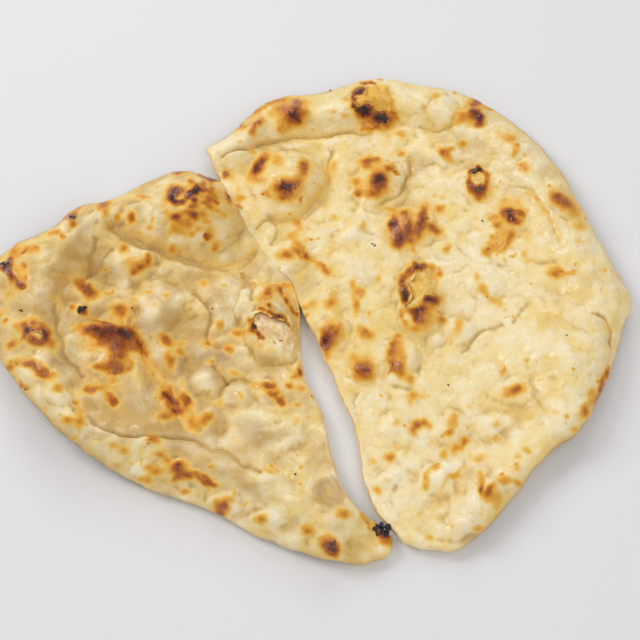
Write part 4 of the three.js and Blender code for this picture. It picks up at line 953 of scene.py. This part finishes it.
# ------------------------------------------------------------------ geometry nodes
def bits_tree(name):
    """Node group that puts a ragged bit on every point of a mesh."""
    tree = bpy.data.node_groups.new(name, "GeometryNodeTree")
    face = tree.interface
    face.new_socket("Geometry", in_out="INPUT", socket_type="NodeSocketGeometry")
    for label, kind, value in (("Size", "Float", 0.001), ("Flatness", "Float", 0.4),
                               ("Raggedness", "Float", 0.5), ("Seed", "Int", 1),
                               ("Finish", "Material", None)):
        socket = face.new_socket(label, in_out="INPUT", socket_type="NodeSocket" + kind)
        if value is not None:
            socket.default_value = value
    face.new_socket("Geometry", in_out="OUTPUT", socket_type="NodeSocketGeometry")

    def node(kind, **links):
        new = tree.nodes.new(kind)
        for key, value in links.items():
            put(new.inputs[key.replace("_", " ")], value)
        return new

    def put(socket, value):
        if isinstance(value, bpy.types.NodeSocket):
            tree.links.new(value, socket)
        else:
            socket.default_value = value

    def operation(kind, name, *values):
        new = tree.nodes.new(kind)
        new.operation = name
        for number, value in enumerate(values):
            put(new.inputs["Scale" if name == "SCALE" and number == 1 else number], value)
        return new.outputs[0]

    def random(low, high):
        new = tree.nodes.new("FunctionNodeRandomValue")
        new.data_type = "FLOAT_VECTOR"
        for key, value in (("Min", low), ("Max", high), ("Seed", given["Seed"])):
            put(new.inputs[key], value)
        return new.outputs["Value"]

    vector, number = "ShaderNodeVectorMath", "ShaderNodeMath"
    given = node("NodeGroupInput").outputs
    ball = node("GeometryNodeMeshIcoSphere", Radius=given["Size"], Subdivisions=2)
    place = node("GeometryNodeInputPosition").outputs[0]
    # The ball is about a millimetre wide, so its positions are enlarged for the noise.
    noise = node("ShaderNodeTexNoise", Vector=operation(vector, "SCALE", place, 700.0),
                 Scale=2.2, Detail=2.0)
    centred = operation(vector, "SUBTRACT", noise.outputs["Color"], (0.5, 0.5, 0.5))
    reach = operation(number, "MULTIPLY", given["Size"], given["Raggedness"])
    torn = node("GeometryNodeSetPosition", Geometry=ball.outputs[0],
                Offset=operation(vector, "SCALE", centred, reach))
    flat = node("ShaderNodeCombineXYZ", X=1.0, Y=0.7, Z=given["Flatness"]).outputs[0]
    spread = random((0.55, 0.55, 0.6), (1.35, 1.25, 1.2))
    cloud = node("GeometryNodeMeshToPoints", Mesh=given["Geometry"])
    bits = node("GeometryNodeInstanceOnPoints", Points=cloud.outputs[0],
                Instance=torn.outputs[0], Scale=operation(vector, "MULTIPLY", flat, spread),
                Rotation=random((-0.5, -0.5, 0.0), (0.5, 0.5, 6.28)))
    solid = node("GeometryNodeRealizeInstances", Geometry=bits.outputs[0])
    painted = node("GeometryNodeSetMaterial", Geometry=solid.outputs[0],
                   Material=given["Finish"])
    node("NodeGroupOutput", Geometry=painted.outputs[0])
    return tree


def bits_mesh(label, points, finish, values):
    """Plain mesh of the bits that the node group puts on the points."""
    tree = bpy.data.node_groups.get("naan_bits") or bits_tree("naan_bits")
    seeds = bpy.data.meshes.new(label + "_points")
    seeds.from_pydata([tuple(point) for point in points], [], [])
    holder = bpy.data.objects.new(label + "_points", seeds)
    bpy.context.scene.collection.objects.link(holder)
    modifier = holder.modifiers.new("bits", "NODES")
    modifier.node_group = tree
    values = dict(values, Finish=finish)
    for socket in tree.interface.items_tree:
        if socket.in_out == "INPUT" and socket.name in values:
            modifier[socket.identifier] = values[socket.name]
    graph = bpy.context.evaluated_depsgraph_get()
    mesh = bpy.data.meshes.new_from_object(holder.evaluated_get(graph))
    mesh.name = label
    bpy.data.objects.remove(holder)
    return mesh


# ------------------------------------------------------------------ shader language
class Wire:
    """A node's output that adds Math nodes as it is worked with."""

    def __init__(self, tree, socket):
        self.tree = tree
        self.socket = socket

    def math(self, operation, first, second):
        node = self.tree.nodes.new("ShaderNodeMath")
        node.operation = operation
        for slot, value in zip(node.inputs, (first, second)):
            if isinstance(value, Wire):
                self.tree.links.new(value.socket, slot)
            else:
                slot.default_value = value
        return Wire(self.tree, node.outputs[0])

    def __add__(self, other):
        return self.math("ADD", self, other)

    def __sub__(self, other):
        return self.math("SUBTRACT", self, other)

    def __rsub__(self, other):
        return self.math("SUBTRACT", other, self)

    def __mul__(self, other):
        return self.math("MULTIPLY", self, other)

    def clipped(self):
        return self.math("MINIMUM", self.math("MAXIMUM", self, 0.0), 1.0)

    __radd__ = __add__
    __rmul__ = __mul__


class Finish:
    """A material under construction, with one method for every kind of node."""

    def __init__(self, name):
        self.material = bpy.data.materials.new(name)
        self.material.use_nodes = True
        self.tree = self.material.node_tree
        self.tree.nodes.clear()

    def node(self, kind, values=None, options=None, output=0):
        node = self.tree.nodes.new("ShaderNode" + kind)
        for key, value in (options or {}).items():
            if key == "stops":
                self.set_stops(node.color_ramp, value)
            else:
                setattr(node, key, value)
        for key, value in (values or {}).items():
            slot = node.inputs[key]
            if isinstance(value, Wire):
                self.tree.links.new(value.socket, slot)
            else:
                slot.default_value = value
        return Wire(self.tree, node.outputs[output])

    @staticmethod
    def set_stops(ramp, stops):
        while len(ramp.elements) > 1:
            ramp.elements.remove(ramp.elements[-1])
        for number, (place, colour) in enumerate(stops):
            element = ramp.elements[0] if number == 0 else ramp.elements.new(place)
            element.position = place
            element.color = colour

    def attribute(self, name):
        return self.node("Attribute", options={"attribute_name": name}, output="Fac")

    def place(self):
        return self.node("TexCoord", output="Object")

    def noise(self, size, detail, rough=0.55, offset=0.0):
        """Noise from 0 to 1 with features of about the given size in metres."""
        shifted = self.node("VectorMath", {0: self.place(), 1: (offset, offset, offset)})
        return self.node("TexNoise", {
            "Vector": shifted, "Scale": 0.5 / size, "Detail": detail, "Roughness": rough})

    def ramp(self, value, low, high):
        """0 below low, 1 above high and smooth between them."""
        return self.node("MapRange", {"Value": value, "From Min": low, "From Max": high},
                         {"interpolation_type": "SMOOTHSTEP"})

    def mix(self, share, first, second):
        return self.node("Mix", {"Factor": share, "A": first, "B": second},
                         {"data_type": "RGBA"}, output="Result")

    def shaded(self, height, strength, depth, **values):
        """The finished material: a Principled surface with a bump of the given depth."""
        bump = self.node("Bump", {"Height": height, "Strength": strength, "Distance": depth})
        values = {key.replace("_", " "): value for key, value in values.items()}
        surface = self.node("BsdfPrincipled", dict(values, Normal=bump))
        out = self.tree.nodes.new("ShaderNodeOutputMaterial")
        self.tree.links.new(surface.socket, out.inputs["Surface"])
        return self.material


def srgb(red, green, blue):
    """A colour given as it looks on a screen, 0 to 255, as Blender's linear one."""
    def linear(channel):
        c = channel / 255
        return c / 12.92 if c <= 0.04045 else ((c + 0.055) / 1.055) ** 2.4
    return (linear(red), linear(green), linear(blue), 1.0)


# From faint gold to charcoal, by heat.
BROWNING = [
    (0.00, srgb(240, 214, 150)),
    (0.14, srgb(238, 202, 112)),
    (0.28, srgb(230, 174, 62)),
    (0.42, srgb(214, 139, 34)),
    (0.56, srgb(184, 102, 22)),
    (0.70, srgb(142, 65, 12)),
    (0.82, srgb(102, 40, 8)),
    (0.92, srgb(66, 27, 8)),
    (1.00, srgb(28, 18, 15)),
]


def crust_material():
    """Buttered tandoor crust: cream dough, golden stains, scorched blisters, with painted shade in
    hollows and creases and painted highlights on crests and scorched spots.
    """
    look = settings()
    finish = Finish("naan_crust")
    heat, bare, toasted_and_shaded, painted_shade, hollow, groove_shade, crest, under = map(finish.attribute, (
        "browning", "bare", "toasted_and_shaded", "painted_shade", "hollow", "groove_shade", "crest", "under"))
    broad = finish.noise(0.030, 3)
    patch = finish.noise(0.009, 4, 0.6, 0.3)
    grain = finish.noise(0.0022, 4, 0.6, 0.7)
    fine = finish.noise(0.0009, 3, 0.6, 1.1)
    mottle = finish.noise(0.0026, 4, 0.65, 5.0)
    buttered = finish.noise(0.0055, 3, 0.6, 6.0)

    # Layers of dough colour, each over the ones before it. The last ones are painted light: a
    # highlight on crests and shade in valleys, hollows and creases.
    dough = tuple(look.cream)
    for share, colour in (
            (finish.ramp(broad, 0.35, 0.68), look.butter),
            (finish.ramp(patch, 0.50, 0.72) * 0.45, look.pale),
            (finish.ramp(patch, 0.48, 0.30) * 0.35, look.toast),
            (finish.ramp(grain, 0.62, 0.40) * 0.12, look.toast),
            (finish.ramp(mottle, 0.50, 0.64) * 0.5, look.gold),
            (finish.ramp(mottle, 0.46, 0.32) * 0.45, look.pale),
            (finish.ramp(buttered, 0.50, 0.62) * 0.5, look.gold),
            (finish.ramp(buttered, 0.48, 0.36) * 0.45, look.pale),
            # Painted highlight: the crests are paler.
            (crest * 0.5, look.pale),
            # Tan for toasting and painted shade; pale for flour and painted light on ridges.
            ((toasted_and_shaded * 0.6).clipped(), look.tan),
            ((toasted_and_shaded * -0.6).clipped(), look.pale),
            # Painted shade: greyer dough where valleys and creases lie in shade.
            (painted_shade * 0.8, look.painted_shade_grey),
            # Painted shade in the hollows, golden where buttered dough pools in them.
            (hollow * (0.35 + 0.5 * patch), look.shade),
            # Painted shade at the bottom of narrow creases.
            (groove_shade * 0.55, look.groove_shade)):
        dough = finish.mix(share, dough, tuple(colour))

    # Browning: stains, freckles and the underside's flat patches from the oven's wall.
    flat_bake = finish.ramp(broad + patch * 0.5, 0.68, 0.98) * under * 0.34
    speckle = finish.noise(0.0013, 5, 0.7, 2.3)
    mottled = heat + heat * (speckle - 0.5) * 0.55 + heat * (patch - 0.5) * 0.3
    freckles = finish.noise(0.0045, 2, 0.5, 8.0)
    freckled = finish.ramp(freckles, 0.66, 0.76) * finish.ramp(broad, 0.40, 0.56) * 0.3
    flecks = finish.noise(0.0024, 2, 0.5, 9.0)
    flecked = finish.ramp(flecks, 0.66, 0.74) * finish.ramp(patch, 0.42, 0.56) * 0.26
    bubbly = bare * (mottle - 0.5) * 0.4
    level = (mottled + flat_bake + freckled + flecked + bubbly).clipped()
    stain = finish.node("ValToRGB", {"Fac": level}, {"stops": BROWNING}, output="Color")
    colour = finish.mix(finish.ramp(level, 0.0, 0.24), dough, stain)
    # Painted glints: pinkish pale specks on scorched cores for the shine of their oily char.
    glint_noise = finish.noise(0.0012, 3, 0.6, 4.4)
    painted_core_glints = finish.ramp(glint_noise, 0.56, 0.70) * finish.ramp(level, 0.5, 0.72) * 0.26
    colour = finish.mix(painted_core_glints, colour, srgb(206, 160, 128))
    # Painted highlights: fine pale sparkles over the crust, strongest on browned spots.
    painted_sparkles = finish.ramp(fine, 0.62, 0.70) * (0.1 + 0.3 * finish.ramp(level, 0.45, 0.65))
    colour = finish.mix(painted_sparkles, colour, srgb(242, 214, 180))
    # Inside a tear and along the cut the crumb shows, full of fine pores.
    crumb = finish.mix(finish.ramp(grain, 0.42, 0.62), tuple(look.crumb_shade), tuple(look.crumb))
    baked_crumb = finish.mix(finish.ramp(level, 0.06, 0.22), crumb, stain)
    colour = finish.mix(finish.ramp(bare, 0.3, 0.8), colour, baked_crumb)

    grease = finish.ramp(patch * 0.5 + grain * 0.5, 0.50, 0.57)
    charred = finish.ramp(level, 0.7, 0.9)
    browned = finish.ramp(level, 0.35, 0.6)
    rough = 0.54 - grease * look.gloss - browned * (0.02 + 0.2 * speckle) + bare * 0.25
    bubbled = finish.node("TexVoronoi", {"Vector": finish.place(), "Scale": 420.0},
                          {"feature": "F1"}, output="Distance")
    wrinkle = finish.noise(0.0035, 3, 0.5, 3.1)
    folds = finish.node("Math", {0: wrinkle * 2.0 - 1.0}, {"operation": "ABSOLUTE"})
    height = grain * 0.42 + fine * 0.5 + folds * 0.35 + charred * bubbled * 0.6
    height = height + browned * speckle * 0.9 - finish.ramp(fine, 0.55, 0.75) * bare * 0.4
    return finish.shaded(
        height, 0.8, 0.0014, Base_Color=colour, Roughness=rough,
        Coat_Weight=grease * 0.45 + browned * 0.08, Coat_Roughness=0.16,
        Specular_IOR_Level=0.36, Subsurface_Weight=0.22,
        Subsurface_Radius=(0.9, 0.55, 0.3), Subsurface_Scale=0.003)


def char_material():
    """Brittle black char with a dull sheen."""
    finish = Finish("naan_char")
    grain = finish.noise(0.0014, 4)
    colour = finish.mix(finish.ramp(grain, 0.55, 0.75), srgb(38, 33, 36), srgb(100, 80, 78))
    return finish.shaded(grain, 0.7, 0.0008, Base_Color=colour, Roughness=0.45 + grain * 0.2)


def herb_material():
    """Dark dried herb and seed specks."""
    finish = Finish("naan_herb")
    grain = finish.noise(0.0007, 3)
    colour = finish.mix(finish.ramp(grain, 0.4, 0.65), srgb(46, 42, 28), srgb(84, 78, 44))
    return finish.shaded(grain, 0.5, 0.0003, Base_Color=colour, Roughness=0.6 + grain * 0.2)


def table_material():
    """Plain pale cloth of the stage."""
    finish = Finish("naan_table")
    weave = finish.noise(0.0012, 2)
    cloudy = finish.noise(0.2, 2)
    colour = finish.mix(cloudy, srgb(229, 228, 229), srgb(223, 223, 225))
    return finish.shaded(weave, 0.08, 0.0004, Base_Color=colour, Roughness=0.85 + weave * 0.1)


# ------------------------------------------------------------------ settings
def length(name, description, value):
    return bpy.props.FloatProperty(
        name=name, description=description, default=value, unit="LENGTH")


def tint(name, description, red, green, blue):
    return bpy.props.FloatVectorProperty(
        name=name, description=description, subtype="COLOR", size=4,
        default=srgb(red, green, blue), min=0, max=1)


class NaanSettings(bpy.types.PropertyGroup):
    """Sizes and colours of the bread."""

    thickness: length("Thickness", "Of the sheet between its blisters", 0.0055)
    rim_rounding: length("Rim rounding", "Width of the rounding along the baked rim", 0.005)
    cut_rounding: length("Cut rounding", "Width of the rounding along the cut", 0.0013)
    spot_rise: length("Spot rise", "How far a browned spot stands up", 0.0009)
    unevenness: length("Unevenness", "Height of the dough's lumps and wrinkles", 0.0011)
    flake: length("Flake", "Radius of a flake of char", 0.00115)
    speck: length("Speck", "Radius of a herb speck", 0.00055)
    gloss: bpy.props.FloatProperty(
        name="Gloss", description="How much smoother the buttered patches are",
        default=0.22, min=0, max=0.5)
    cream: tint("Cream", "Dough between the stains", 243, 224, 175)
    butter: tint("Butter", "Dough that soaked up butter", 241, 213, 137)
    # Pale serves floury patches and also the painted highlight on crests and lit ridges.
    pale: tint("Pale", "Floury highlights", 247, 237, 208)
    toast: tint("Toast", "Lightly baked patches", 230, 195, 112)
    gold: tint("Gold", "Small flecks of butter in the crust", 237, 207, 116)
    # Tan is also the colour of painted shade on slopes and creases.
    tan: tint("Tan", "Broad parts baked a shade darker", 205, 167, 98)
    # Colour of the painted shade in valleys and creases.
    painted_shade_grey: tint("Grey", "Doughy parts between the baked ones", 190, 158, 114)
    # Golden painted shade in the hollows, partly butter that pools there.
    shade: tint("Hollow", "Dough down in the hollows", 216, 170, 76)
    # Colour of the painted shade in narrow creases.
    groove_shade: tint("Groove", "Dough at the bottom of a crease", 172, 138, 78)
    crumb: tint("Crumb", "Open crumb", 248, 226, 182)
    crumb_shade: tint("Crumb pores", "Pores of the open crumb", 232, 194, 140)


# ------------------------------------------------------------------ operators
def material(name, make):
    """The material of that name, made when it is first asked for."""
    return bpy.data.materials.get(name) or make()


def add_piece(name, mesh, finish, node=None):
    """One visible piece of the bread. Where it stands for a solid, node names that solid."""
    piece = bpy.data.objects.new(name, mesh)
    mesh.materials.clear()
    mesh.materials.append(finish)
    bpy.context.scene.collection.objects.link(piece)
    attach(piece, BODY)
    if node:
        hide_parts(node)


class NAAN_OT_halves(bpy.types.Operator):
    """Makes the two halves of the bread"""

    bl_idname = "naan.halves"
    bl_label = "Bread Halves"

    def execute(self, context):
        finish = material("naan_crust", crust_material)
        for node in OUTLINES:
            add_piece("naan_" + node, bread_mesh(node), finish, node)
        return {"FINISHED"}


class NAAN_OT_skins(bpy.types.Operator):
    """Makes the torn skins round the burst blisters"""

    bl_idname = "naan.skins"
    bl_label = "Torn Skins"

    def execute(self, context):
        finish = material("naan_crust", crust_material)
        for node in OUTLINES:
            add_piece("skins_" + node, skin_mesh(node), finish)
        return {"FINISHED"}


class NAAN_OT_char(bpy.types.Operator):
    """Makes the loose flakes of char"""

    bl_idname = "naan.char"
    bl_label = "Char Flakes"

    def execute(self, context):
        finish = material("naan_char", char_material)
        points = np.vstack([scattered(node, CHAR_HEAPS[node], 5) for node in OUTLINES])
        values = {"Size": settings().flake, "Flatness": 0.38, "Raggedness": 1.4, "Seed": 3}
        add_piece("char_flakes", bits_mesh("char_flakes", points, finish, values), finish)
        return {"FINISHED"}


SPECK_REACH = 0.4
SPECK_COUNT = 2


class NAAN_OT_specks(bpy.types.Operator):
    """Makes the herb specks"""

    bl_idname = "naan.specks"
    bl_label = "Herb Specks"

    def execute(self, context):
        finish = material("naan_herb", herb_material)
        heaps = {node: [(place, SPECK_REACH, SPECK_COUNT) for place in places]
                 for node, places in SPECKS.items()}
        points = np.vstack([scattered(node, heaps[node], 7) for node in OUTLINES])
        values = {"Size": settings().speck, "Flatness": 0.5, "Raggedness": 1.0, "Seed": 8}
        add_piece("herb_specks", bits_mesh("herb_specks", points, finish, values), finish)
        return {"FINISHED"}


# The stage, in metres and watts: lamps by place, width and power.
TABLE_REACH = 3.0
TABLE_TOP = -0.0002
ROOM_LIGHT = 0.43
VIEW_DEGREES = 20
LAMPS = (
    ("window", (-0.95, 0.45, 0.85), 0.6, 7.5),
    ("far_window", (0.1, 1.05, 0.8), 0.7, 4.2),
    ("front_fill", (0.15, -1.0, 0.9), 1.2, 5.4),
    ("side_fill", (0.95, -0.2, 0.9), 1.2, 2.6),
)


class NAAN_OT_stage(bpy.types.Operator):
    """Makes the table, the light and the camera"""

    bl_idname = "naan.stage"
    bl_label = "Stage"

    def execute(self, context):
        scene = context.scene
        mesh = bpy.data.meshes.new("table")
        corners = [(x * TABLE_REACH, y * TABLE_REACH, TABLE_TOP)
                   for x, y in ((-1, -1), (1, -1), (1, 1), (-1, 1))]
        mesh.from_pydata(corners, [], [(0, 1, 2, 3)])
        mesh.materials.append(material("naan_table", table_material))
        table = bpy.data.objects.new("table", mesh)
        scene.collection.objects.link(table)

        world = bpy.data.worlds.new("room")
        world.use_nodes = True
        sky = world.node_tree.nodes["Background"]
        sky.inputs["Color"].default_value = srgb(244, 242, 240)
        sky.inputs["Strength"].default_value = ROOM_LIGHT
        scene.world = world
        for name, place, size, power in LAMPS:
            self.lamp(name, place, size, power)

        target = Vector((-MIDDLE[0], -MIDDLE[1], 0)) * MM
        camera = bpy.data.cameras.new("camera")
        camera.angle = math.radians(VIEW_DEGREES)
        view = bpy.data.objects.new("camera", camera)
        view.location = Vector(EYE * MM) + target
        view.rotation_euler = (target - view.location).to_track_quat("-Z", "Y").to_euler()
        camera.clip_start = 0.01
        scene.collection.objects.link(view)
        scene.camera = view
        scene.view_settings.view_transform = "Standard"
        return {"FINISHED"}

    def lamp(self, name, place, size, power):
        light = bpy.data.lights.new(name, "AREA")
        light.size = size
        light.energy = power
        lamp = bpy.data.objects.new(name, light)
        lamp.location = place
        lamp.rotation_euler = (-Vector(place)).to_track_quat("-Z", "Y").to_euler()
        bpy.context.scene.collection.objects.link(lamp)


STEPS = ("halves", "skins", "char", "specks", "stage")


class NAAN_PT_panel(bpy.types.Panel):
    """Lists the steps that make the bread"""

    bl_label = "Naan Bread"
    bl_idname = "NAAN_PT_panel"
    bl_space_type = "VIEW_3D"
    bl_region_type = "UI"
    bl_category = "Naan"

    def draw(self, context):
        for step in STEPS:
            self.layout.operator("naan." + step)


CLASSES = (NaanSettings, NAAN_OT_halves, NAAN_OT_skins, NAAN_OT_char, NAAN_OT_specks,
           NAAN_OT_stage, NAAN_PT_panel)


def register():
    for cls in CLASSES:
        bpy.utils.register_class(cls)
    bpy.types.Scene.naan = bpy.props.PointerProperty(type=NaanSettings)


def unregister():
    del bpy.types.Scene.naan
    for cls in reversed(CLASSES):
        bpy.utils.unregister_class(cls)


def main():
    register()
    for step in STEPS:
        getattr(bpy.ops.naan, step)()
    bpy.context.view_layer.update()


if __name__ == "__main__":
    main()
